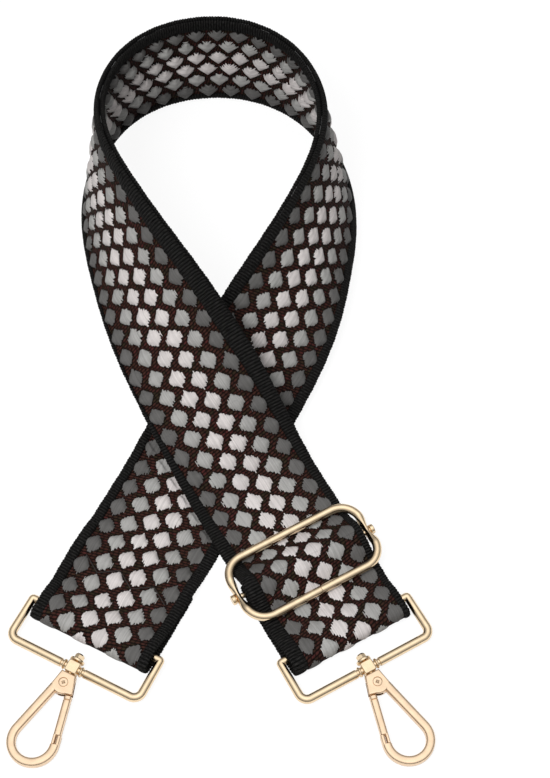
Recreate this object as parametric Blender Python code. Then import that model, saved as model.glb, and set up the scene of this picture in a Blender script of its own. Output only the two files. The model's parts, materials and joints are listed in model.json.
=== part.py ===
"""Detachable bag strap: patterned webbing with a sliding adjuster and two swivel snap hooks.

Metres, +Z up. The strap lies on a surface at z = 0 with its hooks towards -Y and its
loop, which stands on edge, towards +Y. The origin is at the bottom centre of the part.
"""

import math

import bmesh
import bpy
import numpy as np
from mathutils import Matrix, Vector

# Clearances
SEAT_GAP = 0.0003
CUT_OVERRUN = 0.002

# Webbing, measured along the strap from the left ring's bar to the right ring's bar
WEBBING_WIDTH = 0.050
WEBBING_THICKNESS = 0.0022
STRAP_RUN = 0.605
RUN_HEADINGS_DEG = (62.5, 62.5, 59.5, 70, 112.5, 183, 255, 295, 301, 299.5, 299.5)
RUN_ROLLS_DEG = (0, 0, 25, 60, 82, 90, 85, 63, 29, 0, 0)
LOOP_LIFT = 0.0125
LOOP_LIFT_SHARES = (0, 0, 0.16, 0.4, 0.16, 0, 0.4, 1, 0.76, 0, 0)
ACROSS_SHARES = (-0.5, -0.25, 0, 0.25, 0.5)
RUN_STEP = 0.004
BEND_STEP = 0.0015
FOLD_SLACK = 0.003
FOLD_SEGMENTS = 8
RING_RAMP = 0.012
TAIL_LENGTH = 0.028
TAIL_RAMP = 0.014

# Sewn end round the adjuster's centre bar, and the thread
SEWN_FLAP_LENGTH = 0.0058
SEWN_FLAP_DROP = 0.0046
SEWN_UNDER_LENGTH = 0.008
SEWN_UNDER_RISE = 0.004
THREAD_RADIUS = 0.00022
THREAD_MARGIN = 0.007
THREAD_STEP = 0.0072
LEFT_THREAD_PLACE = 0.0216
LEFT_THREAD_SWING = 0.0023
RETURN_THREAD_PLACE = 0.0049
RETURN_THREAD_SWING = 0.0002

# Adjuster
SLIDER_PLACE = 0.030
SLIDER_BAR_SPACING = 0.0265
SLIDER_SIDE_CLEARANCE = 0.00085
SLIDER_CORNER_RADIUS = 0.008
SLIDER_WIRE_RADIUS = 0.00165
SLIDER_EYE_HALF_WIDTH = 0.00115
SLIDER_EYE_HALF_HEIGHT = 0.0023
SLIDER_EYE_LENGTH = 0.0044
SLIDER_DIP_LENGTH = 0.014
SLIDER_HUMP_LENGTH = 0.023
CENTRE_BAR_RADIUS = 0.0011
CENTRE_BAR_KNOB_RADIUS = 0.0019
CENTRE_BAR_KNOB_LENGTH = 0.0015

# Rings
RING_WIRE_RADIUS = 0.0015
RING_BOTTOM_RADIUS = 0.0017
RING_SIDE_CLEARANCE = 0.0004
RING_DEPTH = 0.017
RING_CORNER_RADIUS = 0.0032
COLLAR_BLOCK_LENGTH = 0.0047
COLLAR_BLOCK_RADIUS = 0.0023
COLLAR_GROOVE_LENGTH = 0.0004
COLLAR_GROOVE_RADIUS = 0.0014
COLLAR_BEAD_LENGTH = 0.0006
COLLAR_BEAD_RADIUS = 0.002
COLLAR_STEP = 0.00005

# Swivel posts
POST_RADIUS = 0.0011
POST_SOCKET_DEPTH = 0.0017
POST_FLANGE_RADIUS = 0.0028
POST_FLANGE_LENGTH = 0.001
POST_HEAD_RADIUS = 0.0019
POST_HEAD_LENGTH = 0.0022
POST_HEAD_CHAMFER = 0.0006
POST_HEAD_SIDES = 8

# Snap hooks, in a frame with its origin at the middle of the ring's collar
HOOK_LENGTH = 0.0399
HOOK_WIDTH = 0.0192
HOOK_OFFSET = 0.0012
HOOK_BAR_WIDTH = 0.0034
HOOK_THICKNESS = 0.0036
HOOK_SQUARENESS = 3.2
PLATE_TOP_WIDTH = 0.0058
PLATE_CHAMFER = 0.0005
PLATE_FOOT_RADIUS = 0.0044
PIN_PLACE = 0.0066
PIN_RADIUS = 0.00075
PIN_HEAD_RADIUS = 0.0015
PIN_HEAD_PROUD = 0.00015
PIN_HEAD_RECESS = 0.0005
GATE_ANGLE_DEG = 15
GATE_WIDTH = 0.0029
GATE_LAP = 0.0035
GATE_ROOT_RADIUS = 0.0017
GATE_ROOT_WIDTH = 0.0018
GATE_ROOT_THICKNESS = 0.0012
GATE_SLOT_OUTER = 0.0022
SPRING_RADIUS = 0.00045
SPRING_WIRE_RADIUS = 0.00014
SPRING_TURNS = 4

# Roundness of the solids
WIRE_SIDES = 12
TURNED_SIDES = 20
ARC_STEP_DEG = 11

# Heights and places that follow from the sizes above
HALF_THICKNESS = WEBBING_THICKNESS / 2
LAYER_STEP = WEBBING_THICKNESS + SEAT_GAP
LOWER_LAYER = HALF_THICKNESS
MIDDLE_LAYER = LOWER_LAYER + LAYER_STEP
RING_BAR_HEIGHT = WEBBING_THICKNESS + SEAT_GAP + RING_WIRE_RADIUS
FOLD_RADIUS = RING_WIRE_RADIUS + SEAT_GAP + HALF_THICKNESS
SEWN_RADIUS = CENTRE_BAR_RADIUS + SEAT_GAP + HALF_THICKNESS
CENTRE_BAR_HEIGHT = 2 * SEAT_GAP + SEWN_RADIUS + HALF_THICKNESS
SLIDER_HEIGHT = MIDDLE_LAYER + HALF_THICKNESS + SEAT_GAP + SLIDER_WIRE_RADIUS
SPAN_OVER_BAR = CENTRE_BAR_HEIGHT + SEWN_RADIUS + LAYER_STEP
SLIDER_ARM_SPACING = WEBBING_WIDTH + 2 * (SLIDER_SIDE_CLEARANCE + SLIDER_WIRE_RADIUS)
SPAN_FOOT = RING_RAMP / 2
SPAN_TOP = SLIDER_PLACE + SLIDER_BAR_SPACING + RING_RAMP - FOLD_SLACK
RING_WIDTH = WEBBING_WIDTH + 2 * (RING_SIDE_CLEARANCE + RING_WIRE_RADIUS)
HOOK_TOP = COLLAR_BLOCK_RADIUS + SEAT_GAP
HOOK_TILT = math.asin((RING_BAR_HEIGHT - HOOK_THICKNESS / 2) / (RING_DEPTH + HOOK_LENGTH))
UP = np.array((0, 0, 1))


def clear_scene():
    for item in list(bpy.data.objects):
        bpy.data.objects.remove(item, do_unlink=True)


def finish_material(name, colour, roughness, metallic):
    material = bpy.data.materials.new(name)
    material.use_nodes = True
    shader = material.node_tree.nodes["Principled BSDF"]
    shader.inputs["Base Color"].default_value = (*colour, 1)
    shader.inputs["Roughness"].default_value = roughness
    shader.inputs["Metallic"].default_value = metallic
    material.diffuse_color = (*colour, 1)
    return material


def add_object(name, mesh, parent, material, sharp_deg=None):
    item = bpy.data.objects.new(name, mesh)
    bpy.context.scene.collection.objects.link(item)
    item.parent = parent
    mesh.materials.append(material)
    if sharp_deg is not None:
        mesh.shade_smooth()
        mesh.set_sharp_from_angle(angle=math.radians(sharp_deg))
    return item


def add_pivot(name, parent, matrix):
    """An empty on a moving piece's axis; matrix is in the parent's frame."""
    pivot = bpy.data.objects.new(name, None)
    bpy.context.scene.collection.objects.link(pivot)
    pivot.parent = parent
    pivot.matrix_basis = matrix
    return pivot


def mesh_from(name, points, faces):
    shape = bmesh.new()
    verts = [shape.verts.new(tuple(point)) for point in points]
    for face in faces:
        shape.faces.new([verts[index] for index in face])
    bmesh.ops.recalc_face_normals(shape, faces=shape.faces)
    mesh = bpy.data.meshes.new(name)
    shape.to_mesh(mesh)
    shape.free()
    return mesh


def loft(name, rows, closed=False):
    """A skin over rows of points, each row a closed outline; an open loft gets end caps."""
    count = len(rows[0])
    points = [point for row in rows for point in row]
    pairs = [(index, index + 1) for index in range(len(rows) - 1)]
    if closed:
        pairs.append((len(rows) - 1, 0))
    faces = []
    for first, second in pairs:
        for side in range(count):
            after = (side + 1) % count
            faces.append(
                (
                    first * count + side,
                    second * count + side,
                    second * count + after,
                    first * count + after,
                )
            )
    if not closed:
        last = (len(rows) - 1) * count
        faces.append(tuple(range(count)))
        faces.append(tuple(last + side for side in range(count)))
    return mesh_from(name, points, faces)


def ease(share):
    """From 1 at share 0 down to 0 at share 1, level at both ends."""
    return (1 + np.cos(math.pi * np.clip(share, 0, 1))) / 2


def between_stations(values, shares):
    """Values at equal stations joined smoothly, never going past a station's own value."""
    values = np.asarray(values, float)
    steps = np.diff(values)
    before, after = steps[:-1], steps[1:]
    total = np.where(before * after > 0, before + after, 1)
    slopes = np.zeros(len(values))
    slopes[1:-1] = np.where(before * after > 0, 2 * before * after / total, 0)
    place = np.clip(shares, 0, 1) * (len(values) - 1)
    index = np.clip(place.astype(int), 0, len(values) - 2)
    u = place - index
    return (
        values[index] * (1 + 2 * u) * (1 - u) ** 2
        + slopes[index] * u * (1 - u) ** 2
        + values[index + 1] * u**2 * (3 - 2 * u)
        + slopes[index + 1] * u**2 * (u - 1)
    )


def unit(vectors):
    return vectors / np.linalg.norm(vectors, axis=-1, keepdims=True)


def left_rise(distance):
    """How far the left leg is lifted by the ring's bar and by its own folded tail."""
    over_bar = RING_BAR_HEIGHT + FOLD_RADIUS - MIDDLE_LAYER
    over_tail = LAYER_STEP * ease((distance - TAIL_LENGTH) / TAIL_RAMP)
    return over_bar * ease(distance / RING_RAMP) + over_tail


def right_rise(distance):
    """How far the right leg is lifted over its middle layer by the ring and the adjuster."""
    over_ring = RING_BAR_HEIGHT + FOLD_RADIUS - MIDDLE_LAYER
    over_slider = SPAN_OVER_BAR - MIDDLE_LAYER
    from_slider = np.abs(distance - SLIDER_PLACE)
    hump = over_slider * ease(2 * from_slider / SLIDER_HUMP_LENGTH)
    return over_ring * ease(distance / RING_RAMP) + hump


class StrapRun:
    """The strap's centre line from ring bar to ring bar, read at any distance along it."""

    def __init__(self):
        count = 1 + round(STRAP_RUN / (BEND_STEP / 2))
        self.distance = np.linspace(0, STRAP_RUN, count)
        share = self.distance / STRAP_RUN
        heading = np.radians(between_stations(RUN_HEADINGS_DEG, share))
        roll = np.radians(between_stations(RUN_ROLLS_DEG, share))
        lifts = [LOOP_LIFT * lift_share for lift_share in LOOP_LIFT_SHARES]
        lifts[-2:] = [LAYER_STEP] * 2
        lift = between_stations(lifts, share)
        height = lift + WEBBING_WIDTH / 2 * np.sin(roll) + LOWER_LAYER
        level = np.sqrt(1 - np.gradient(height, self.distance) ** 2)
        self.points = np.zeros((count, 3))
        for axis, part in ((0, np.cos(heading)), (1, np.sin(heading))):
            steps = np.diff(self.distance) * (part * level)[:-1] / 2
            steps = steps + np.diff(self.distance) * (part * level)[1:] / 2
            self.points[1:, axis] = np.cumsum(steps)
        self.points[:, 2] = height
        self.points[:, 2] += left_rise(self.distance) + right_rise(STRAP_RUN - self.distance)
        self.along = unit(np.gradient(self.points, axis=0))
        outward = np.stack((np.sin(heading), -np.cos(heading), np.zeros(count)), axis=1)
        across = -np.cos(roll)[:, None] * outward + np.sin(roll)[:, None] * UP
        across = across - np.sum(across * self.along, axis=1, keepdims=True) * self.along
        self.across = unit(across)

    def at(self, distance):
        point = [np.interp(distance, self.distance, self.points[:, k]) for k in range(3)]
        across = [np.interp(distance, self.distance, self.across[:, k]) for k in range(3)]
        along = [np.interp(distance, self.distance, self.along[:, k]) for k in range(3)]
        along = unit(np.array(along))
        across = np.array(across) - np.dot(across, along) * along
        across = unit(across)
        return np.array(point), across, np.cross(along, across)

    def stretch(self, start, end, step):
        count = 1 + max(1, math.ceil((end - start) / step))
        return [self.at(distance) for distance in np.linspace(start, end, count)]

    def level_end(self, right):
        """Foot of a leg: point on the surface under the ring bar, level outward, across."""
        distance = STRAP_RUN if right else 0
        point, across, _ = self.at(distance)
        out = np.cross(across, UP)
        if not right:
            out = -out
        return np.array((point[0], point[1], 0)), unit(out), across


def flat_stations(foot, out, across, route):
    """Ribbon stations along a route of (distance outward, height) points in a leg's own plane."""
    route = np.asarray(route)
    points = foot + route[:, :1] * out + route[:, 1:] * UP
    along = unit(np.gradient(points, axis=0))
    return [(point, across, np.cross(way, across)) for point, way in zip(points, along)]


def half_turn(centre_out, centre_height, radius, start_deg, sweep_deg):
    angles = np.radians(start_deg + np.linspace(0, sweep_deg, FOLD_SEGMENTS + 1))
    return [
        (centre_out + radius * math.cos(angle), centre_height + radius * math.sin(angle))
        for angle in angles
    ]


def ribbon(name, stations, parent, material):
    """Webbing along stations of (point, across, face normal)."""
    rows = []
    for point, across, normal in stations:
        middle = [point + across * (WEBBING_WIDTH * share) for share in ACROSS_SHARES]
        upper = [place + normal * HALF_THICKNESS for place in middle]
        lower = [place - normal * HALF_THICKNESS for place in reversed(middle)]
        rows.append(upper + lower)
    count = len(rows[0])
    points = [point for row in rows for point in row]
    faces = []
    for row in range(len(rows) - 1):
        for side in range(count):
            after = (side + 1) % count
            first, second = row * count, (row + 1) * count
            faces.append((first + side, second + side, second + after, first + after))
    for row in (0, len(rows) - 1):
        for side in range(count // 2 - 1):
            other = count - 1 - side
            corners = (side, side + 1, other - 1, other)
            faces.append(tuple(row * count + corner for corner in corners))
    mesh = mesh_from(name, points, faces)
    return add_object(name, mesh, parent, material, sharp_deg=60)


def thread(name, stations, swing, parent, material):
    """One row of thread across the webbing, swinging to and fro along it."""
    curve = bpy.data.curves.new(name, "CURVE")
    curve.dimensions = "3D"
    curve.bevel_depth = THREAD_RADIUS
    curve.bevel_resolution = 1
    curve.use_fill_caps = True
    spline = curve.splines.new("POLY")
    spline.points.add(len(stations) - 1)
    for index, (point, along, normal) in enumerate(stations):
        side = swing if index % 2 else -swing
        place = point + side * along + (HALF_THICKNESS + SEAT_GAP + THREAD_RADIUS) * normal
        spline.points[index].co = (*place, 1)
    item = bpy.data.objects.new(name, curve)
    bpy.context.scene.collection.objects.link(item)
    item.parent = parent
    curve.materials.append(material)
    return item


def thread_places(point, across, normal):
    along = np.cross(across, normal)
    reach = WEBBING_WIDTH / 2 - THREAD_MARGIN
    count = 1 + round(2 * reach / THREAD_STEP)
    sides = np.linspace(-reach, reach, count)
    return [(point + side * across, along, normal) for side in sides]


def swept(name, stations, parent, material, closed=False, squareness=2, sides=WIRE_SIDES):
    """A bar along a path in XY. A station is x, y, z, left and right reach, half height."""
    places = np.array([station[:2] for station in stations])
    ahead = unit(np.roll(places, -1, axis=0) - places)
    behind = np.roll(ahead, 1, axis=0)
    if not closed:
        ahead[-1] = behind[-1]
        behind[0] = ahead[0]
    left_ahead = np.stack((-ahead[:, 1], ahead[:, 0]), axis=1)
    left_behind = np.stack((-behind[:, 1], behind[:, 0]), axis=1)
    mitre = unit(left_ahead + left_behind)
    mitre = mitre / np.sum(mitre * left_ahead, axis=1, keepdims=True)
    angles = [2 * math.pi * (side + 0.5) / sides for side in range(sides)]
    power = 2 / squareness
    outline = [
        (
            math.copysign(abs(math.cos(angle)) ** power, math.cos(angle)),
            math.copysign(abs(math.sin(angle)) ** power, math.sin(angle)),
        )
        for angle in angles
    ]
    rows = []
    for (x, y, z, left, right, half), way in zip(stations, mitre):
        row = []
        for sideways, upright in outline:
            reach = (left - right) / 2 + sideways * (left + right) / 2
            row.append((x + way[0] * reach, y + way[1] * reach, z + upright * half))
        rows.append(row)
    mesh = loft(name, rows, closed)
    return add_object(name, mesh, parent, material, sharp_deg=50)


def arc_points(centre, radius, start_deg, end_deg):
    count = max(1, math.ceil(abs(end_deg - start_deg) / ARC_STEP_DEG))
    angles = np.radians(np.linspace(start_deg, end_deg, count + 1))
    return [
        (centre[0] + radius * math.cos(angle), centre[1] + radius * math.sin(angle))
        for angle in angles
    ]


def turned(name, profile, parent, material, axis="Z", sides=TURNED_SIDES):
    """A solid turned round an axis from (place along the axis, radius) pairs."""
    rows = []
    for place, radius in profile:
        row = []
        for side in range(sides):
            angle = 2 * math.pi * side / sides
            first, second = radius * math.cos(angle), radius * math.sin(angle)
            if axis == "X":
                row.append((place, first, second))
            elif axis == "Y":
                row.append((second, place, first))
            else:
                row.append((first, second, place))
        rows.append(row)
    return add_object(name, loft(name, rows), parent, material, sharp_deg=35)


def chamfered_plate(name, outline, half, chamfer, parent, material):
    """A plate in XY, centred on z = 0, whose two faces are chamfered all round."""
    places = np.array(outline)
    ahead = unit(np.roll(places, -1, axis=0) - places)
    inward = np.stack((-ahead[:, 1], ahead[:, 0]), axis=1)
    behind = np.roll(ahead, 1, axis=0)
    turning = behind[:, 0] * ahead[:, 1] - behind[:, 1] * ahead[:, 0]
    if turning.sum() < 0:
        inward = -inward
    mitre = unit(inward + np.roll(inward, 1, axis=0))
    mitre = mitre / np.sum(mitre * inward, axis=1, keepdims=True)
    rows = []
    for inset, z in ((chamfer, -half), (0, chamfer - half), (0, half - chamfer), (chamfer, half)):
        ring = places + inset * mitre
        rows.append([(x, y, z) for x, y in ring])
    return add_object(name, loft(name, rows), parent, material, sharp_deg=35)


def combine(item, other, operation):
    """Keep a Boolean on the object; the other shape stays hidden as its guide."""
    other.hide_render = True
    other.display_type = "WIRE"
    modifier = item.modifiers.new(operation.title(), "BOOLEAN")
    modifier.operation = operation
    modifier.solver = "EXACT"
    modifier.object = other


def make_webbing(run, root, materials):
    """The one long strap, drawn as the lengths between the places where it has to give."""
    cloth = materials["webbing"]
    lap = SEAT_GAP / 2
    left_foot, left_out, left_across = run.level_end(right=False)
    right_foot, right_out, right_across = run.level_end(right=True)

    tail = [(-TAIL_LENGTH, LOWER_LAYER), (-TAIL_LENGTH / 2, LOWER_LAYER), (0, LOWER_LAYER)]
    fold = half_turn(FOLD_SLACK, RING_BAR_HEIGHT, FOLD_RADIUS, -90, 180)
    left_end = flat_stations(left_foot, left_out, left_across, tail + fold)
    bent = max(RING_RAMP, TAIL_LENGTH + TAIL_RAMP)
    main = run.stretch(0, bent, 2 * BEND_STEP)
    main += run.stretch(bent, STRAP_RUN - SPAN_TOP - lap, RUN_STEP)[1:]
    ribbon("webbing", left_end + main, root, cloth)

    span = run.stretch(STRAP_RUN - SPAN_TOP + lap, STRAP_RUN - SPAN_FOOT - lap, BEND_STEP)
    ribbon("webbing_slider_span", span, root, cloth)

    upper = run.stretch(STRAP_RUN - SPAN_FOOT + lap, STRAP_RUN, BEND_STEP)
    fold = half_turn(FOLD_SLACK, RING_BAR_HEIGHT, FOLD_RADIUS, 90, -180)
    under = [(0, LOWER_LAYER), (lap - SPAN_FOOT, LOWER_LAYER)]
    lower = flat_stations(right_foot, right_out, right_across, fold + under)
    ribbon("webbing_right_fold", upper + lower, root, cloth)

    sewn_start = SLIDER_PLACE - SEWN_UNDER_LENGTH
    back = [(-SPAN_FOOT - lap, LOWER_LAYER), (lap - sewn_start, LOWER_LAYER)]
    stations = flat_stations(right_foot, right_out, right_across, back)
    ribbon("webbing_return", stations, root, cloth)


def make_sewn_loop(frame, materials):
    """The strap's sewn end round the centre bar, in the adjuster's frame: +Y goes up the leg."""
    lowest = CENTRE_BAR_HEIGHT - SEWN_RADIUS
    lap = SEAT_GAP / 2
    start = SEWN_UNDER_LENGTH - lap
    under = [
        (place, LOWER_LAYER + (lowest - LOWER_LAYER) * ease(place / SEWN_UNDER_RISE))
        for place in np.linspace(start, 0, 1 + math.ceil(start / BEND_STEP))
    ]
    turn = half_turn(0, CENTRE_BAR_HEIGHT, SEWN_RADIUS, -90, -180)
    highest = CENTRE_BAR_HEIGHT + SEWN_RADIUS
    over = [
        (place, MIDDLE_LAYER + (highest - MIDDLE_LAYER) * ease(place / SEWN_FLAP_DROP))
        for place in np.linspace(0, SEWN_FLAP_LENGTH, 1 + math.ceil(SEWN_FLAP_LENGTH / BEND_STEP))
    ]
    foot = np.zeros(3)
    down_leg = np.array((0, -1, 0))
    across = np.array((1, 0, 0))
    route = under[:-1] + turn + over[1:]
    stations = flat_stations(foot, down_leg, across, route)
    ribbon("webbing_sewn_loop", stations, frame, materials["webbing"])
    height = MIDDLE_LAYER + (highest - MIDDLE_LAYER) * ease(RETURN_THREAD_PLACE / SEWN_FLAP_DROP)
    point = np.array((0, -RETURN_THREAD_PLACE, height))
    places = thread_places(point, across, UP)
    thread("return_stitching", places, RETURN_THREAD_SWING, frame, materials["thread"])


def slider_stations():
    """Half of the adjuster's frame, from the middle of its upper bar to the lower one's."""
    half_span = SLIDER_BAR_SPACING / 2
    half_arm = SLIDER_ARM_SPACING / 2
    corner = (half_arm - SLIDER_CORNER_RADIUS, half_span - SLIDER_CORNER_RADIUS)
    places = [(0, half_span)] + arc_points(corner, SLIDER_CORNER_RADIUS, 90, 0)
    straight = corner[1]
    eye = SLIDER_EYE_LENGTH / 2
    places += [(half_arm, (straight + eye) / 2)]
    places += [(half_arm, eye), (half_arm, eye / 2), (half_arm, 0)]
    places += [(x, -y) for x, y in reversed(places[:-1])]
    stations = []
    for x, y in places:
        in_eye = ease((abs(y) - eye / 2) / (straight - eye / 2)) if abs(x) == half_arm else 0
        wide = SLIDER_WIRE_RADIUS + (SLIDER_EYE_HALF_WIDTH - SLIDER_WIRE_RADIUS) * in_eye
        high = SLIDER_WIRE_RADIUS + (SLIDER_EYE_HALF_HEIGHT - SLIDER_WIRE_RADIUS) * in_eye
        dip = (SLIDER_HEIGHT - CENTRE_BAR_HEIGHT) * ease(2 * abs(y) / SLIDER_DIP_LENGTH)
        stations.append((x, y, SLIDER_HEIGHT - dip, wide, wide, high))
    return stations


def make_slider(frame, materials):
    gold = materials["gold"]
    half = slider_stations()
    other = [(-x, *rest) for x, *rest in reversed(half[1:-1])]
    loop = swept("slider_frame", half + other, frame, gold, closed=True)
    eye_reach = SLIDER_ARM_SPACING / 2 + SLIDER_EYE_HALF_WIDTH
    cut_reach = eye_reach + CUT_OVERRUN
    hole = [(-cut_reach, CENTRE_BAR_RADIUS + SEAT_GAP), (cut_reach, CENTRE_BAR_RADIUS + SEAT_GAP)]
    bore = turned("slider_frame_bore", hole, frame, gold, axis="X")
    bore.location.z = CENTRE_BAR_HEIGHT
    combine(loop, bore, "DIFFERENCE")

    knob = eye_reach + SEAT_GAP
    crown = CENTRE_BAR_KNOB_RADIUS - CENTRE_BAR_RADIUS
    profile = [
        (knob, CENTRE_BAR_RADIUS),
        (knob, CENTRE_BAR_KNOB_RADIUS),
        (knob + CENTRE_BAR_KNOB_LENGTH - crown, CENTRE_BAR_KNOB_RADIUS),
        (knob + CENTRE_BAR_KNOB_LENGTH, CENTRE_BAR_RADIUS),
    ]
    mirrored = [(-place, radius) for place, radius in reversed(profile)]
    bar = turned("slider_bar", mirrored + profile, frame, gold, axis="X")
    bar.location.z = CENTRE_BAR_HEIGHT


def collar_stations():
    """Half of the ring's bottom bar from the collar's middle outwards: (place, radius)."""
    lengths = [
        (COLLAR_BLOCK_LENGTH / 2, COLLAR_BLOCK_RADIUS),
        (COLLAR_GROOVE_LENGTH, COLLAR_GROOVE_RADIUS),
        (COLLAR_BEAD_LENGTH, COLLAR_BEAD_RADIUS),
        (COLLAR_GROOVE_LENGTH, COLLAR_GROOVE_RADIUS),
        (COLLAR_BEAD_LENGTH, COLLAR_BEAD_RADIUS),
        (COLLAR_GROOVE_LENGTH, COLLAR_GROOVE_RADIUS),
    ]
    places = [(0, COLLAR_BLOCK_RADIUS)]
    end = 0
    for length, radius in lengths:
        if end:
            places.append((end + COLLAR_STEP, radius))
        end += length
        places.append((end, radius))
    places.append((end + COLLAR_STEP, RING_BOTTOM_RADIUS))
    return places


def make_ring(side, frame, materials):
    """The ring in its own frame: its top bar on X, its collar towards +Y."""
    gold = materials["gold"]
    half_width = RING_WIDTH / 2
    corner = (half_width - RING_CORNER_RADIUS, RING_DEPTH - RING_CORNER_RADIUS)
    places = [(0, 0, RING_WIRE_RADIUS), (half_width, 0, RING_WIRE_RADIUS)]
    for x, y in arc_points(corner, RING_CORNER_RADIUS, 0, 90):
        places.append((x, y, RING_BOTTOM_RADIUS))
    places += [(x, RING_DEPTH, radius) for x, radius in reversed(collar_stations())]
    places += [(-x, y, radius) for x, y, radius in reversed(places[1:-1])]
    stations = [(x, y, 0, radius, radius, radius) for x, y, radius in places]
    ring = swept(f"{side}_ring", stations, frame, gold, closed=True)
    reach = COLLAR_BLOCK_RADIUS + CUT_OVERRUN
    hole = [
        (RING_DEPTH - reach, POST_RADIUS + SEAT_GAP),
        (RING_DEPTH + reach, POST_RADIUS + SEAT_GAP),
    ]
    bore = turned(f"{side}_ring_bore", hole, frame, gold, axis="Y")
    combine(ring, bore, "DIFFERENCE")


def make_post(side, frame, materials):
    """The swivel post in the hook's frame: its head on the strap's side of the collar."""
    seat = -HOOK_TOP
    flange = seat - POST_FLANGE_LENGTH
    head = flange - POST_HEAD_LENGTH
    foot = HOOK_TOP + POST_SOCKET_DEPTH - SEAT_GAP
    profile = [
        (head, POST_HEAD_RADIUS - POST_HEAD_CHAMFER),
        (head + POST_HEAD_CHAMFER, POST_HEAD_RADIUS),
        (flange, POST_HEAD_RADIUS),
        (flange, POST_FLANGE_RADIUS),
        (seat, POST_FLANGE_RADIUS),
        (seat, POST_RADIUS),
        (foot, POST_RADIUS),
    ]
    sides = 2 * POST_HEAD_SIDES
    turned(f"{side}_swivel_post", profile, frame, materials["gold"], axis="Y", sides=sides)


class HookShape:
    """Places in the hook's frame. +Y runs away from the ring, +X is the gate's side."""

    def __init__(self):
        outer = HOOK_WIDTH / 2
        self.mid_radius = outer - HOOK_BAR_WIDTH / 2
        self.centre = (HOOK_OFFSET, HOOK_LENGTH - outer)
        self.start = (HOOK_BAR_WIDTH / 2 - PLATE_TOP_WIDTH / 2, HOOK_TOP + PLATE_CHAMFER)
        away = math.hypot(self.centre[0] - self.start[0], self.centre[1] - self.start[1])
        bearing = math.atan2(self.centre[1] - self.start[1], self.centre[0] - self.start[0])
        self.leg_deg = math.degrees(bearing + math.asin(self.mid_radius / away))
        lean = math.radians(GATE_ANGLE_DEG)
        self.down = np.array((math.sin(lean), math.cos(lean)))
        self.side = np.array((math.cos(lean), -math.sin(lean)))
        self.pin = np.array((0, PIN_PLACE))
        self.lap_end = np.array(self.centre) + self.mid_radius * self.side
        self.lap_start = self.lap_end - GATE_LAP * self.down
        self.gate_offset = np.dot(self.lap_end - self.pin, self.side)
        inner = self.gate_offset - GATE_WIDTH / 2
        clear = PLATE_FOOT_RADIUS + SEAT_GAP
        self.gate_top = math.sqrt(clear**2 - inner**2)
        self.foot_top = self.gate_top - SEAT_GAP

    def on_gate(self, offset, place):
        """A point at an offset sideways and a place down the gate, both from the pin."""
        return self.pin + offset * self.side + place * self.down

    def bar_path(self):
        """Bar centre line down the outer side, round the bottom and up to the gate's lap."""
        path = [self.start]
        path += arc_points(self.centre, self.mid_radius, self.leg_deg + 90, -GATE_ANGLE_DEG)
        return path

    def plate_outline(self):
        half_top = PLATE_TOP_WIDTH / 2
        corner = self.on_gate(self.gate_offset + GATE_WIDTH / 2, self.foot_top)
        inner = self.gate_offset - GATE_WIDTH / 2
        meet = self.on_gate(inner, math.sqrt(PLATE_FOOT_RADIUS**2 - inner**2))
        start = math.degrees(math.atan2(meet[1] - self.pin[1], meet[0] - self.pin[0]))
        leg = math.radians(self.leg_deg)
        outer_way = np.array((math.cos(leg), math.sin(leg)))
        outer_top = np.array((-half_top, HOOK_TOP))
        reach = np.dot(self.pin - outer_top, outer_way) + PLATE_FOOT_RADIUS / 2
        outer_foot = outer_top + reach * outer_way + GATE_SLOT_OUTER / 2 * np.array(
            (math.sin(leg), -math.cos(leg))
        )
        end = math.degrees(math.atan2(outer_foot[1] - self.pin[1], outer_foot[0] - self.pin[0]))
        outline = [(half_top, HOOK_TOP), tuple(corner)]
        outline += arc_points(self.pin, PLATE_FOOT_RADIUS, start, end)
        outline += [(-half_top, HOOK_TOP)]
        return outline


def mirrored(points, gate_way):
    return [(gate_way * x, y) for x, y in points]


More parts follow.
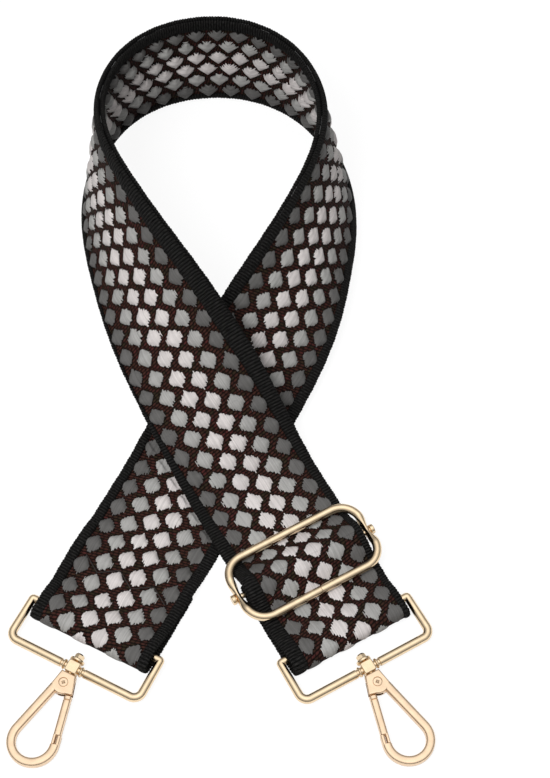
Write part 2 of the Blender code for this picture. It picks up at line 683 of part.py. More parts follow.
def make_hook_body(side, gate_way, shape, frame, materials):
    gold = materials["gold"]
    half = HOOK_THICKNESS / 2
    outline = mirrored(shape.plate_outline(), gate_way)
    name = f"{side}_hook_body"
    body = chamfered_plate(name, outline, half, PLATE_CHAMFER, frame, gold)

    wide = HOOK_BAR_WIDTH / 2
    path = [(x, y, wide, wide) for x, y in shape.bar_path()]
    end = shape.lap_end
    nose = shape.lap_start
    outer_only = (end - COLLAR_STEP * shape.down, nose)
    path += [(x, y, -SEAT_GAP / 2, wide) for x, y in outer_only]
    stations = []
    for x, y, inner, outer in path:
        left, right = (outer, inner) if gate_way > 0 else (inner, outer)
        stations.append((gate_way * x, y, 0, left, right, half))
    bar = swept(f"{name}_bar", stations, frame, gold, squareness=HOOK_SQUARENESS)
    combine(body, bar, "UNION")

    slot_half = GATE_ROOT_THICKNESS / 2 + SEAT_GAP
    open_side = HOOK_WIDTH / 2
    roof = PIN_PLACE - GATE_ROOT_RADIUS - SEAT_GAP
    spring_reach = SPRING_RADIUS + SPRING_WIRE_RADIUS
    floor = PIN_PLACE + GATE_ROOT_RADIUS + 2 * (SEAT_GAP + spring_reach) + SEAT_GAP
    below = PIN_PLACE + PLATE_FOOT_RADIUS + CUT_OVERRUN
    slot_outline = [
        (-GATE_SLOT_OUTER, roof),
        (open_side, roof),
        (open_side, below),
        (0, below),
        (0, floor),
        (-GATE_SLOT_OUTER, floor),
    ]
    slot = chamfered_plate(
        f"{name}_slot", mirrored(slot_outline, gate_way), slot_half, SEAT_GAP / 2, frame, gold
    )
    combine(body, slot, "DIFFERENCE")

    reach = half + CUT_OVERRUN
    recess = half - PIN_HEAD_RECESS
    hole_profile = [
        (-reach, PIN_HEAD_RADIUS + SEAT_GAP),
        (-recess, PIN_HEAD_RADIUS + SEAT_GAP),
        (-recess, PIN_RADIUS + SEAT_GAP),
        (recess, PIN_RADIUS + SEAT_GAP),
        (recess, PIN_HEAD_RADIUS + SEAT_GAP),
        (reach, PIN_HEAD_RADIUS + SEAT_GAP),
    ]
    pin_hole = turned(f"{name}_pin_hole", hole_profile, frame, gold)
    pin_hole.location.y = PIN_PLACE
    combine(body, pin_hole, "DIFFERENCE")

    socket_profile = [
        (HOOK_TOP - CUT_OVERRUN, POST_RADIUS + SEAT_GAP),
        (HOOK_TOP + POST_SOCKET_DEPTH, POST_RADIUS + SEAT_GAP),
    ]
    socket = turned(f"{name}_post_socket", socket_profile, frame, gold, axis="Y")
    combine(body, socket, "DIFFERENCE")


def make_gate(side, gate_way, shape, frame, materials):
    """The gate in the frame of its own pin."""
    gold = materials["gold"]
    wide = GATE_WIDTH / 2
    offset = shape.gate_offset
    lap_length = np.dot(shape.lap_end - shape.pin, shape.down)
    top = shape.on_gate(offset, shape.gate_top) - shape.pin
    lap = shape.on_gate(offset, lap_length - GATE_LAP - SEAT_GAP) - shape.pin
    step = lap + COLLAR_STEP * shape.down
    tip = shape.on_gate(offset, lap_length - SEAT_GAP) - shape.pin
    half = HOOK_THICKNESS / 2 - SEAT_GAP / 2
    path = [(top, wide, wide), (lap, wide, wide)]
    path += [(step, wide, -SEAT_GAP / 2), (tip, wide, -SEAT_GAP / 2)]
    stations = []
    for (x, y), inner, outer in path:
        left, right = (inner, outer) if gate_way > 0 else (outer, inner)
        stations.append((gate_way * x, y, 0, left, right, half))
    gate = swept(f"{side}_gate", stations, frame, gold, squareness=HOOK_SQUARENESS)

    bearing = math.degrees(math.atan2(top[1], top[0]))
    way = unit(top)
    cross = np.array((-way[1], way[0])) * GATE_ROOT_WIDTH / 2
    reach = top + way * wide
    opening = math.degrees(math.asin(GATE_ROOT_WIDTH / 2 / GATE_ROOT_RADIUS))
    start, end = bearing + opening, bearing + 360 - opening
    outline = arc_points((0, 0), GATE_ROOT_RADIUS, start, end)
    outline += [tuple(reach - cross), tuple(reach + cross)]
    root = chamfered_plate(
        f"{side}_gate_root",
        mirrored(outline, gate_way),
        GATE_ROOT_THICKNESS / 2,
        SEAT_GAP / 2,
        frame,
        gold,
    )
    combine(gate, root, "UNION")
    reach = GATE_ROOT_THICKNESS / 2 + CUT_OVERRUN
    hole = [(-reach, PIN_RADIUS + SEAT_GAP), (reach, PIN_RADIUS + SEAT_GAP)]
    bore = turned(f"{side}_gate_bore", hole, frame, gold)
    combine(gate, bore, "DIFFERENCE")


def make_gate_pin(side, frame, materials):
    half = HOOK_THICKNESS / 2
    head = half - PIN_HEAD_RECESS + SEAT_GAP
    top = half + PIN_HEAD_PROUD
    profile = [
        (-top, PIN_HEAD_RADIUS - PIN_HEAD_PROUD),
        (PIN_HEAD_PROUD - top, PIN_HEAD_RADIUS),
        (-head, PIN_HEAD_RADIUS),
        (-head, PIN_RADIUS),
        (head, PIN_RADIUS),
        (head, PIN_HEAD_RADIUS),
        (top - PIN_HEAD_PROUD, PIN_HEAD_RADIUS),
        (top, PIN_HEAD_RADIUS - PIN_HEAD_PROUD),
    ]
    pin = turned(f"{side}_gate_pin", profile, frame, materials["gold"])
    pin.location.y = PIN_PLACE


def make_gate_spring(side, gate_way, shape, frame, materials):
    """A small coil between the slot's outer wall and the gate's root."""
    reach = SPRING_RADIUS + SPRING_WIRE_RADIUS
    place = PIN_PLACE + GATE_ROOT_RADIUS + SEAT_GAP + reach
    start = SEAT_GAP + SPRING_WIRE_RADIUS - GATE_SLOT_OUTER
    top = shape.on_gate(shape.gate_offset, shape.gate_top) - shape.pin
    way = unit(top)
    edge = (place - reach - PIN_PLACE - way[0] * GATE_ROOT_WIDTH / 2) / way[1]
    root_edge = edge * way[0] - way[1] * GATE_ROOT_WIDTH / 2
    end = root_edge - SEAT_GAP - SPRING_WIRE_RADIUS
    per_turn = 10
    count = SPRING_TURNS * per_turn
    curve = bpy.data.curves.new(f"{side}_gate_spring", "CURVE")
    curve.dimensions = "3D"
    curve.bevel_depth = SPRING_WIRE_RADIUS
    curve.bevel_resolution = 1
    curve.use_fill_caps = True
    spline = curve.splines.new("POLY")
    spline.points.add(count)
    for index in range(count + 1):
        angle = 2 * math.pi * index / per_turn
        x = gate_way * (start + (end - start) * index / count)
        y = place + SPRING_RADIUS * math.cos(angle)
        spline.points[index].co = (x, y, SPRING_RADIUS * math.sin(angle), 1)
    item = bpy.data.objects.new(f"{side}_gate_spring", curve)
    bpy.context.scene.collection.objects.link(item)
    item.parent = frame
    curve.materials.append(materials["steel"])


def axes_matrix(x_axis, y_axis, z_axis, origin):
    matrix = Matrix((x_axis, y_axis, z_axis)).transposed().to_4x4()
    matrix.translation = Vector(origin)
    return matrix


def make_hook_set(side, run, root, shape, materials):
    right = side == "right"
    gate_way = 1 if right else -1
    foot, out, _ = run.level_end(right)
    origin = foot + RING_BAR_HEIGHT * UP
    outward = Vector(out) * math.cos(HOOK_TILT) - Vector(UP) * math.sin(HOOK_TILT)
    sideways = outward.cross(Vector(UP)).normalized()
    upward = sideways.cross(outward)
    matrix = axes_matrix(sideways, outward, upward, origin)
    ring_frame = add_pivot(f"{side}_ring_pivot", root, matrix)
    make_ring(side, ring_frame, materials)
    hook_place = Matrix.Translation((0, RING_DEPTH, 0))
    hook_frame = add_pivot(f"{side}_hook_pivot", ring_frame, hook_place)
    make_post(side, hook_frame, materials)
    make_hook_body(side, gate_way, shape, hook_frame, materials)
    make_gate_pin(side, hook_frame, materials)
    make_gate_spring(side, gate_way, shape, hook_frame, materials)
    gate_place = Matrix.Translation((0, PIN_PLACE, 0))
    gate_frame = add_pivot(f"{side}_gate_pivot", hook_frame, gate_place)
    make_gate(side, gate_way, shape, gate_frame, materials)


def make_slider_set(run, root, materials):
    foot, out, _ = run.level_end(right=True)
    origin = foot - SLIDER_PLACE * out
    up_leg = -Vector(out)
    across = up_leg.cross(Vector(UP))
    matrix = axes_matrix(across, up_leg, Vector(UP), origin)
    frame = add_pivot("slider_pivot", root, matrix)
    make_slider(frame, materials)
    make_sewn_loop(frame, materials)


def make_left_stitching(run, root, materials):
    places = thread_places(*run.at(LEFT_THREAD_PLACE))
    thread("left_end_stitching", places, LEFT_THREAD_SWING, root, materials["thread"])


def settle_origin(root):
    """Move everything so that the origin is at the bottom centre of the whole part."""
    bpy.context.view_layer.update()
    depsgraph = bpy.context.evaluated_depsgraph_get()
    corners = []
    for item in bpy.data.objects:
        if item.type in {"MESH", "CURVE"} and not item.hide_render:
            evaluated = item.evaluated_get(depsgraph)
            mesh = evaluated.to_mesh()
            corners += [evaluated.matrix_world @ vert.co for vert in mesh.vertices]
            evaluated.to_mesh_clear()
    places = np.array([tuple(corner) for corner in corners])
    lowest, highest = places.min(axis=0), places.max(axis=0)
    middle = (lowest + highest) / 2
    root.location = (-middle[0], -middle[1], -lowest[2])
    bpy.context.view_layer.update()


def main():
    clear_scene()
    materials = {
        "webbing": finish_material("woven_webbing", (0.09, 0.075, 0.07), 0.8, 0),
        "thread": finish_material("black_thread", (0.02, 0.02, 0.02), 0.7, 0),
        "gold": finish_material("polished_gold", (0.83, 0.66, 0.42), 0.15, 1),
        "steel": finish_material("spring_steel", (0.55, 0.55, 0.56), 0.3, 1),
    }
    root = add_pivot("bag_strap", None, Matrix.Identity(4))
    run = StrapRun()
    shape = HookShape()
    make_webbing(run, root, materials)
    make_left_stitching(run, root, materials)
    make_slider_set(run, root, materials)
    for side in ("left", "right"):
        make_hook_set(side, run, root, shape, materials)
    settle_origin(root)


main()
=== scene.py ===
import json
import math

import bpy
import numpy as np
from mathutils import Matrix, Vector


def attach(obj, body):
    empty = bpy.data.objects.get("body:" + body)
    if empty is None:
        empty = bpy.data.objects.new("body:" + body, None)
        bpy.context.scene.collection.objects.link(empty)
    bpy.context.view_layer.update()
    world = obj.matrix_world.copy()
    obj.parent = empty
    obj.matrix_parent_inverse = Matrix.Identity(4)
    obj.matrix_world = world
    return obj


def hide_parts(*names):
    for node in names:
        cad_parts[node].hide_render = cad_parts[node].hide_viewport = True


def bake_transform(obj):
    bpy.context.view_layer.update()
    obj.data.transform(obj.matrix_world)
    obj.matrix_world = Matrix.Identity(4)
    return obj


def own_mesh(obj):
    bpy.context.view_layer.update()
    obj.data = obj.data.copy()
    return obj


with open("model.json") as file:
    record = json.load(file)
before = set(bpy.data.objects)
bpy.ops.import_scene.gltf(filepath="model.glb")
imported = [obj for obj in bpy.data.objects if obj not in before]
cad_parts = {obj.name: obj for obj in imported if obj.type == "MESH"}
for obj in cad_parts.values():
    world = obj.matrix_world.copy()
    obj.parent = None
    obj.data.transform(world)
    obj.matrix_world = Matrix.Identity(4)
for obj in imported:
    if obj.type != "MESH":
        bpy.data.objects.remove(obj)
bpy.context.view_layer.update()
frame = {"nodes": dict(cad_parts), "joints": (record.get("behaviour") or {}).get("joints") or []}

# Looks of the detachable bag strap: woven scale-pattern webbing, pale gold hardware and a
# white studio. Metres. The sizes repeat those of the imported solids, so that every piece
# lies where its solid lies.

SEAT_GAP = 0.0003
CUT_OVERRUN = 0.002

# Webbing and its route from ring bar to ring bar
WEBBING_WIDTH = 0.050
WEBBING_THICKNESS = 0.0022
STRAP_RUN = 0.605
RUN_HEADINGS_DEG = (62.5, 62.5, 59.5, 70, 112.5, 183, 255, 295, 301, 299.5, 299.5)
RUN_ROLLS_DEG = (0, 0, 25, 60, 82, 90, 85, 63, 29, 0, 0)
LOOP_LIFT = 0.0125
LOOP_LIFT_SHARES = (0, 0, 0.16, 0.4, 0.16, 0, 0.4, 1, 0.76, 0, 0)
PATH_STEP = 0.00075
FOLD_SLACK = 0.003
RING_RAMP = 0.012
TAIL_LENGTH = 0.028
TAIL_RAMP = 0.014
SEWN_FLAP_LENGTH = 0.0058
SEWN_FLAP_DROP = 0.0046
SEWN_UNDER_LENGTH = 0.008
SEWN_UNDER_RISE = 0.004

# Where one length of visible webbing hands over to the next, along the run
LEFT_LEG_END = 0.175
LOOP_END = 0.345
SLIDING_START = 0.505
SLIDING_FOLLOWS = 0.016

# Adjuster
SLIDER_PLACE = 0.030
SLIDER_BAR_SPACING = 0.0265
SLIDER_SIDE_CLEARANCE = 0.00085
SLIDER_CORNER_RADIUS = 0.008
SLIDER_WIRE_RADIUS = 0.00165
SLIDER_EYE_HALF_WIDTH = 0.00115
SLIDER_EYE_HALF_HEIGHT = 0.0023
SLIDER_EYE_LENGTH = 0.0044
SLIDER_DIP_LENGTH = 0.014
SLIDER_HUMP_LENGTH = 0.023
SLIDER_TRAVEL = 0.016
SLIDER_SEAM_HALF_WIDTH = 0.00009
SLIDER_SEAM_DEPTH = 0.0004
CENTRE_BAR_RADIUS = 0.0011
CENTRE_BAR_KNOB_RADIUS = 0.0019
CENTRE_BAR_KNOB_LENGTH = 0.0015

# Rings and their collars
RING_WIRE_RADIUS = 0.0015
RING_BOTTOM_RADIUS = 0.0017
RING_SIDE_CLEARANCE = 0.0004
RING_DEPTH = 0.017
RING_CORNER_RADIUS = 0.0032
RING_TIP_RADIUS = 0.0006
COLLAR_BLOCK_LENGTH = 0.0047
COLLAR_BLOCK_RADIUS = 0.0023
COLLAR_BLOCK_EDGE = 0.0004
COLLAR_REACH = 0.0024
COLLAR_GROOVE_RADIUS = 0.0014
COLLAR_BEAD_LENGTH = 0.001
COLLAR_BEAD_RADIUS = 0.002

# Swivel posts
POST_RADIUS = 0.0011
POST_FLANGE_RADIUS = 0.0028
POST_FLANGE_LENGTH = 0.001
POST_HEAD_RADIUS = 0.0019
POST_HEAD_LENGTH = 0.0022
POST_HEAD_CHAMFER = 0.0006
POST_HEAD_SIDES = 8
POST_HEAD_DIMPLE = 0.0005

# Snap hooks, in a frame with its origin at the middle of the ring's collar
HOOK_LENGTH = 0.0399
HOOK_WIDTH = 0.0192
HOOK_OFFSET = 0.0012
HOOK_BAR_WIDTH = 0.0034
HOOK_THICKNESS = 0.0036
HOOK_SQUARENESS = 3.6
PLATE_TOP_WIDTH = 0.0058
PLATE_CHAMFER = 0.0005
PLATE_FOOT_RADIUS = 0.0044
PIN_PLACE = 0.0066
PIN_HEAD_RADIUS = 0.0017
PIN_HEAD_PROUD = 0.00015
PIN_HEAD_RECESS = 0.0005
PIN_STAR_RADIUS = 0.0008
PIN_STAR_DEPTH = 0.00035
PIN_STAR_LOBES = 4
PIN_STAR_LOBE_SHARE = 0.3
GATE_ANGLE_DEG = 15
GATE_WIDTH = 0.0029
GATE_LAP = 0.0035
GATE_ROOT_RADIUS = 0.0017
GATE_ROOT_WIDTH = 0.0018
GATE_ROOT_THICKNESS = 0.0012
GATE_SLOT_OUTER = 0.0022
GATE_CREASE_PLACE = 0.0016
GATE_CREASE_DEPTH = 0.00025
SPRING_RADIUS = 0.00045
SPRING_WIRE_RADIUS = 0.00014

# Weave: repeats counted along the run, columns counted across it
SCALE_PITCH = 0.0094
WEAVE_MARKS = (
    (0.0013, 0), (0.050, 5.2), (0.080, 8.5), (0.185, 19.7), (0.215, 22.7), (0.305, 32.2),
    (0.365, 38.5), (0.425, 44.9), (0.5573, 59), (0.5815, 62), (0.6005, 64),
)
WANDER_MARKS = (
    (0, -0.0003), (0.050, 0.0004), (0.110, 0.0007), (0.150, -0.0008), (0.205, 0.0014),
    (0.250, -0.0010), (0.300, -0.0014), (0.390, -0.0016), (0.435, -0.0030), (0.485, -0.0032),
    (0.510, -0.0016), (0.530, -0.0004), (0.565, 0.0014), (0.605, 0.0014),
)
COLUMNS = 6
COLUMN_PITCH = 0.0072
SCALE_HALF_LENGTH = 0.0044
SCALE_HALF_WIDTH = 0.0034
SCALE_BELL_SHARE = 0.4
SCALE_POINT_POWER = 1.8
SCALE_DOME_POWER = 3
SCALE_PUFF = 0.0022
FRONT_PUFF_SHARE = 0.48
GROUND_DROP = 0.0003
PRESSED_SHARE = 0.26
RING_CALM_SHARE = 0.2
RING_WAIST = 0.0008
SELVEDGE_START = 0.0208
SELVEDGE_RISE = 0.0012
SELVEDGE_EASE = 0.00005
SELVEDGE_WAVE = 0.00012
SELVEDGE_SWAYS = (6 * math.pi, 5.7)
SELVEDGE_GROOVE_SHARE = 0.8
RIB_DEPTH = 0.00026
RIBS_PER_REPEAT = 8
ROW_STEP = 0.00033
FACE_POINTS = 72
CORD_POINTS = 10
CORD_START_DEG = 190
CORD_END_DEG = -50
WEAVE_MAP = "weave"
COVER_STRIDE = 8

# Webbing's colours: floats in the scales, brown ground, black edges, with painted shade between
# strands, ribs and yarns, a painted shadow round the scales' ends and painted light on the edge
# ribs
FLOAT_WIDTH = 0.0004
PICK_STEP = 0.00047
FLOAT_JITTER = 0.0007
LOOSE_FLOAT_HALF_LENGTH = 0.0013
LOOSE_FLOAT_SHARE = 0.3
LOOSE_SHARE = 0.5
LOOSE_SIDE_SHARE = 0.35
LIGHT_SCALE = (0.53, 0.495, 0.485)
MIDDLE_SCALE = (0.315, 0.31, 0.30)
DARK_SCALE = (0.105, 0.102, 0.099)
DARKEST_TONE = 0.77
SCALE_TONES = 0.09
STRAND_TONES = 0.24
STREAK_TONES = 0.24
# Painted shade along the edges of each float strand: how much darker, and where across the strand
# it starts and ends
STRAND_EDGE_PAINTED_SHADE = 0.2
STRAND_EDGE_SHADE_SHARES = (0.25, 0.5)
STREAK_STRETCH = 0.2
STREAK_DENSITY = 2600
GROUND_YARN_LENGTH = 0.0019
# Painted shade: the ground's colour in the hollows between ribs and yarns and round the scales'
# ends
GROUND_PAINTED_SHADE = (0.0015, 0.001, 0.0008)
GROUND_BROWN = (0.047, 0.018, 0.0135)
GROUND_RED = (0.064, 0.018, 0.016)
GROUND_OLIVE = (0.029, 0.020, 0.011)
RED_SHARES = (0.8, 0.95)
OLIVE_SHARES = (0.55, 0.75)
LIT_SHARES = (0.08, 0.8)
RIB_SLANT = 0.22
RIB_ROUNDNESS = 0.8
YARN_STAGGER = 0.9
YARN_DOME_SHARE = 0.55
TWISTS_PER_RIB = 0.9
TWISTS_PER_YARN = 3.4
TWIST_SHADE = 0.28
# Painted shadow on the ground round the scales' ends
SCALE_RIM_PAINTED_SHADE = 0.8
# The black edge cords' colour in painted shade and in painted light
EDGE_BLACK_PAINTED_SHADE = (0.0006, 0.0006, 0.0006)
EDGE_BLACK_PAINTED_LIGHT = (0.026, 0.025, 0.024)
EDGE_RIB_ROUNDNESS = 0.6
FIBRE_STRETCH = 3
FIBRE_DENSITY = 1800
FIBRE_SHARES = (0.25, 0.8)
GROOVE_DASH = (0.12, 0.12, 0.12)
DASH_SHARE = 0.45
DASHES_MISSING_SHARE = 0.3
STRAND_RELIEF = 0.45
COVER_RELIEF = 0.7
YARN_RELIEF = 0.8
RIB_RELIEF = 2.2
WEAVE_BUMP = 0.00025
YARN_ROUGHNESS = 0.85
SCALE_GLOSS = 0.33
YARN_SPECULAR = 0.12

# Plating, thread and springs
WIRE_GOLD = (0.91, 0.715, 0.48)
WIRE_ROUGHNESS = 0.16
CAST_GOLD = (0.87, 0.655, 0.455)
CAST_ROUGHNESS = 0.2
DEEPER_GOLD_SHARE = 0.9
CLOUD_DENSITY = 350
CLOUD_DETAIL = 3
CLOUD_SHARES = (0.3, 0.7)
CLOUD_ROUGHNESS = 0.06
CLOUD_EASE = 0.04
MARK_DENSITY = 4200
MARK_ROUGHNESS = 0.05
MARK_RELIEF = 0.25
PLATING_BUMP = 0.00001
THREAD_SHADES = ((0.006, 0.005, 0.005), (0.03, 0.025, 0.022))
THREAD_DENSITY = 3000
THREAD_BUMP = 0.00005
THREAD_ROUGHNESS = 0.75
STEEL_SHADES = ((0.45, 0.45, 0.46), (0.62, 0.62, 0.63))
STEEL_DENSITY = 1500
STEEL_ROUGHNESS = 0.3

# Camera, matched to the photograph
PHOTO_HEIGHT_PIXELS = 778
FOCAL_PIXELS = 2036
CAMERA_AIM = (0.0200, 0.0051, 0)
CAMERA_DISTANCE = 0.80
CAMERA_ELEVATION_DEG = 60
CAMERA_SENSOR = 0.036

# Studio light: height on the sky's unit sphere and brightness
SKY_LEVELS = ((0.05, 0.08), (0.35, 0.30), (0.65, 0.55), (0.80, 0.84), (0.99, 1.45))
LAMP_PLACE = (-0.35, -0.40, 0.85)
LAMP_SIZE = 0.5
LAMP_POWER = 7.5

# White floor: how bright it is for bounced light, and shade and glow as seen and as mirrored
FLOOR_REACH = 3
FLOOR_BOUNCE = 0.45
FLOOR_ROUGHNESS = 0.9
FLOOR_SEEN = (0.13, 0.9)
FLOOR_MIRRORED = (0.5, 0.35)

# Roundness of the meshes
WIRE_SIDES = 28
TURNED_SIDES = 40
ARC_STEP_DEG = 5
FILLET_STEPS = 4
BACK_POINTS = 12
COLLAR_BEAD_STEPS = 12
PIN_HEAD_RINGS = 14
ARM_STEPS = 17
SHARP_DEG = 30
WIRE_SHARP_DEG = 40
FACET_SHARP_DEG = 20
CAP_RIM = 1.3

# Heights and places that follow from the sizes above
HALF_THICKNESS = WEBBING_THICKNESS / 2
LAYER_STEP = WEBBING_THICKNESS + SEAT_GAP
LOWER_LAYER = HALF_THICKNESS
MIDDLE_LAYER = LOWER_LAYER + LAYER_STEP
RING_BAR_HEIGHT = WEBBING_THICKNESS + SEAT_GAP + RING_WIRE_RADIUS
FOLD_RADIUS = RING_WIRE_RADIUS + SEAT_GAP + HALF_THICKNESS
SEWN_RADIUS = CENTRE_BAR_RADIUS + SEAT_GAP + HALF_THICKNESS
CENTRE_BAR_HEIGHT = 2 * SEAT_GAP + SEWN_RADIUS + HALF_THICKNESS
SLIDER_HEIGHT = MIDDLE_LAYER + HALF_THICKNESS + SEAT_GAP + SLIDER_WIRE_RADIUS
SLIDER_ARM_SPACING = WEBBING_WIDTH + 2 * (SLIDER_SIDE_CLEARANCE + SLIDER_WIRE_RADIUS)
SPAN_OVER_BAR = CENTRE_BAR_HEIGHT + SEWN_RADIUS + LAYER_STEP
RING_WIDTH = WEBBING_WIDTH + 2 * (RING_SIDE_CLEARANCE + RING_WIRE_RADIUS)
HOOK_TOP = COLLAR_BLOCK_RADIUS + SEAT_GAP
UP = np.array((0, 0, 1))


# The strap's path

def ease(share):
    """From 1 at share 0 down to 0 at share 1, level at both ends."""
    return (1 + np.cos(math.pi * np.clip(share, 0, 1))) / 2


def between_stations(values, shares):
    """Values at equal stations joined smoothly, never going past a station's own value."""
    values = np.asarray(values, float)
    steps = np.diff(values)
    before, after = steps[:-1], steps[1:]
    total = np.where(before * after > 0, before + after, 1)
    slopes = np.zeros(len(values))
    slopes[1:-1] = np.where(before * after > 0, 2 * before * after / total, 0)
    place = np.clip(shares, 0, 1) * (len(values) - 1)
    index = np.clip(place.astype(int), 0, len(values) - 2)
    u = place - index
    return (
        values[index] * (1 + 2 * u) * (1 - u) ** 2
        + slopes[index] * u * (1 - u) ** 2
        + values[index + 1] * u**2 * (3 - 2 * u)
        + slopes[index + 1] * u**2 * (u - 1)
    )


def unit(vectors):
    return vectors / np.linalg.norm(vectors, axis=-1, keepdims=True)


def square_to(along, across):
    """Ways across a path, made square to the ways along it and one long."""
    return unit(across - np.sum(across * along, axis=1, keepdims=True) * along)


def left_rise(distance):
    """How far the left leg is lifted by the ring's bar and by its own folded tail."""
    over_bar = RING_BAR_HEIGHT + FOLD_RADIUS - MIDDLE_LAYER
    over_tail = LAYER_STEP * ease((distance - TAIL_LENGTH) / TAIL_RAMP)
    return over_bar * ease(distance / RING_RAMP) + over_tail


def right_rise(distance):
    """How far the right leg is lifted over its middle layer by the ring and the adjuster."""
    over_ring = RING_BAR_HEIGHT + FOLD_RADIUS - MIDDLE_LAYER
    over_slider = SPAN_OVER_BAR - MIDDLE_LAYER
    from_slider = np.abs(distance - SLIDER_PLACE)
    hump = over_slider * ease(2 * from_slider / SLIDER_HUMP_LENGTH)
    return over_ring * ease(distance / RING_RAMP) + hump


class StrapRun:
    """The strap's centre line from ring bar to ring bar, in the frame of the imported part."""

    def __init__(self, left_bar):
        count = 1 + round(STRAP_RUN / PATH_STEP)
        self.distance = np.linspace(0, STRAP_RUN, count)
        share = self.distance / STRAP_RUN
        heading = np.radians(between_stations(RUN_HEADINGS_DEG, share))
        roll = np.radians(between_stations(RUN_ROLLS_DEG, share))
        lifts = [LOOP_LIFT * lift_share for lift_share in LOOP_LIFT_SHARES]
        lifts[-2:] = [LAYER_STEP] * 2
        lift = between_stations(lifts, share)
        height = lift + WEBBING_WIDTH / 2 * np.sin(roll) + LOWER_LAYER
        level = np.sqrt(1 - np.gradient(height, self.distance) ** 2)
        self.points = np.zeros((count, 3))
        for axis, part in ((0, np.cos(heading)), (1, np.sin(heading))):
            pace = part * level
            steps = np.diff(self.distance) * (pace[:-1] + pace[1:]) / 2
            self.points[1:, axis] = np.cumsum(steps)
        self.points[:, 2] = height
        self.points[:, 2] += left_rise(self.distance) + right_rise(STRAP_RUN - self.distance)
        self.points[:, :2] += np.array(left_bar)[:2]
        along = unit(np.gradient(self.points, axis=0))
        outward = np.stack((np.sin(heading), -np.cos(heading), np.zeros(count)), axis=1)
        across = -np.cos(roll)[:, None] * outward + np.sin(roll)[:, None] * UP
        self.across = square_to(along, across)
        self.foot = {}
        for side, end, way in (("left", 0, -1), ("right", -1, 1)):
            out = way * unit(np.cross(self.across[end], UP))
            ground = self.points[end] * (1, 1, 0)
            self.foot[side] = (ground, out, self.across[end])

    def between(self, start, end):
        """Points, across ways and run distances between two distances."""
        kept = (self.distance > start - SEAT_GAP) & (self.distance < end + SEAT_GAP)
        return self.points[kept], self.across[kept], self.distance[kept]

    def flat(self, side, route, beyond):
        """A route of (distance outward, height) points in one leg's plane, past the run's end."""
        foot, out, across = self.foot[side]
        route = np.asarray(route)
        points = foot + route[:, :1] * out + route[:, 1:] * UP
        steps = np.linalg.norm(np.diff(route, axis=0), axis=1)
        travelled = np.concatenate(([0], np.cumsum(steps)))
        distance = travelled - travelled[-1] if beyond < 0 else STRAP_RUN + travelled
        return points, np.repeat(across[None], len(points), axis=0), distance


class Strap:
    """The whole webbing from folded tail to sewn flap, as rows at even steps."""

    def __init__(self, run):
        stretches = (left_end(run), run.between(0, STRAP_RUN), right_end(run))
        points, across, distance = (np.concatenate(parts) for parts in zip(*stretches))
        steps = np.linalg.norm(np.diff(points, axis=0), axis=1)
        kept = np.concatenate(([True], steps > SEAT_GAP / 100))
        points, across, distance = points[kept], across[kept], distance[kept]
        steps = np.linalg.norm(np.diff(points, axis=0), axis=1)
        place = np.concatenate(([0], np.cumsum(steps)))
        even = np.linspace(0, place[-1], 1 + round(place[-1] / ROW_STEP))
        self.step = even[1]
        self.points = np.stack([np.interp(even, place, column) for column in points.T], axis=1)
        across = np.stack([np.interp(even, place, column) for column in across.T], axis=1)
        along = unit(np.gradient(self.points, axis=0))
        self.across = square_to(along, across)
        self.normal = np.cross(along, self.across)
        self.distance = np.interp(even, place, distance)
        self.weave = self.pattern_lengths(even)
        self.wander = np.interp(self.distance, *zip(*WANDER_MARKS))

    def pattern_lengths(self, even):
        """Length of pattern up to every row; it keeps its pitch past the first and last marks."""
        distances, repeats = zip(*WEAVE_MARKS)
        places = np.interp(distances, self.distance, even)
        lengths = np.interp(even, places, np.array(repeats) * SCALE_PITCH)
        return lengths + np.minimum(even - places[0], 0) + np.maximum(even - places[-1], 0)

    def rows(self, start, end):
        """The first and last row between two run distances; None is the webbing's own end."""
        first = 0 if start is None else np.searchsorted(self.distance, start)
        last = len(self.distance) - 1 if end is None else np.searchsorted(self.distance, end)
        return first, last


def left_end(run):
    """From the end of the folded tail, round the left ring's bar."""
    tail = [(-TAIL_LENGTH, LOWER_LAYER), (0, LOWER_LAYER)]
    fold = arc_points((FOLD_SLACK, RING_BAR_HEIGHT), FOLD_RADIUS, -90, 90)
    return run.flat("left", tail + fold + [(0, RING_BAR_HEIGHT + FOLD_RADIUS)], -1)


def right_end(run):
    """Round the right ring's bar, back under the leg and round the adjuster's centre bar."""
    fold = arc_points((FOLD_SLACK, RING_BAR_HEIGHT), FOLD_RADIUS, 90, -90)
    lowest = CENTRE_BAR_HEIGHT - SEWN_RADIUS
    highest = CENTRE_BAR_HEIGHT + SEWN_RADIUS
    back = [(0, RING_BAR_HEIGHT + FOLD_RADIUS)] + fold + [(0, LOWER_LAYER)]
    for place in np.linspace(SEWN_UNDER_LENGTH, 0, BACK_POINTS):
        height = LOWER_LAYER + (lowest - LOWER_LAYER) * ease(place / SEWN_UNDER_RISE)
        back.append((place - SLIDER_PLACE, height))
    back += arc_points((-SLIDER_PLACE, CENTRE_BAR_HEIGHT), SEWN_RADIUS, -90, -270)[1:]
    for place in np.linspace(0, SEWN_FLAP_LENGTH, BACK_POINTS)[1:]:
        height = MIDDLE_LAYER + (highest - MIDDLE_LAYER) * ease(place / SEWN_FLAP_DROP)
        back.append((place - SLIDER_PLACE, height))
    return run.flat("right", back, 1)


# Meshes

def add_object(name, mesh, material, sharp_deg=None):
    item = bpy.data.objects.new(name, mesh)
    bpy.context.scene.collection.objects.link(item)
    mesh.materials.append(material)
    if sharp_deg is not None:
        mesh.shade_smooth()
        mesh.set_sharp_from_angle(angle=math.radians(sharp_deg))
    return item


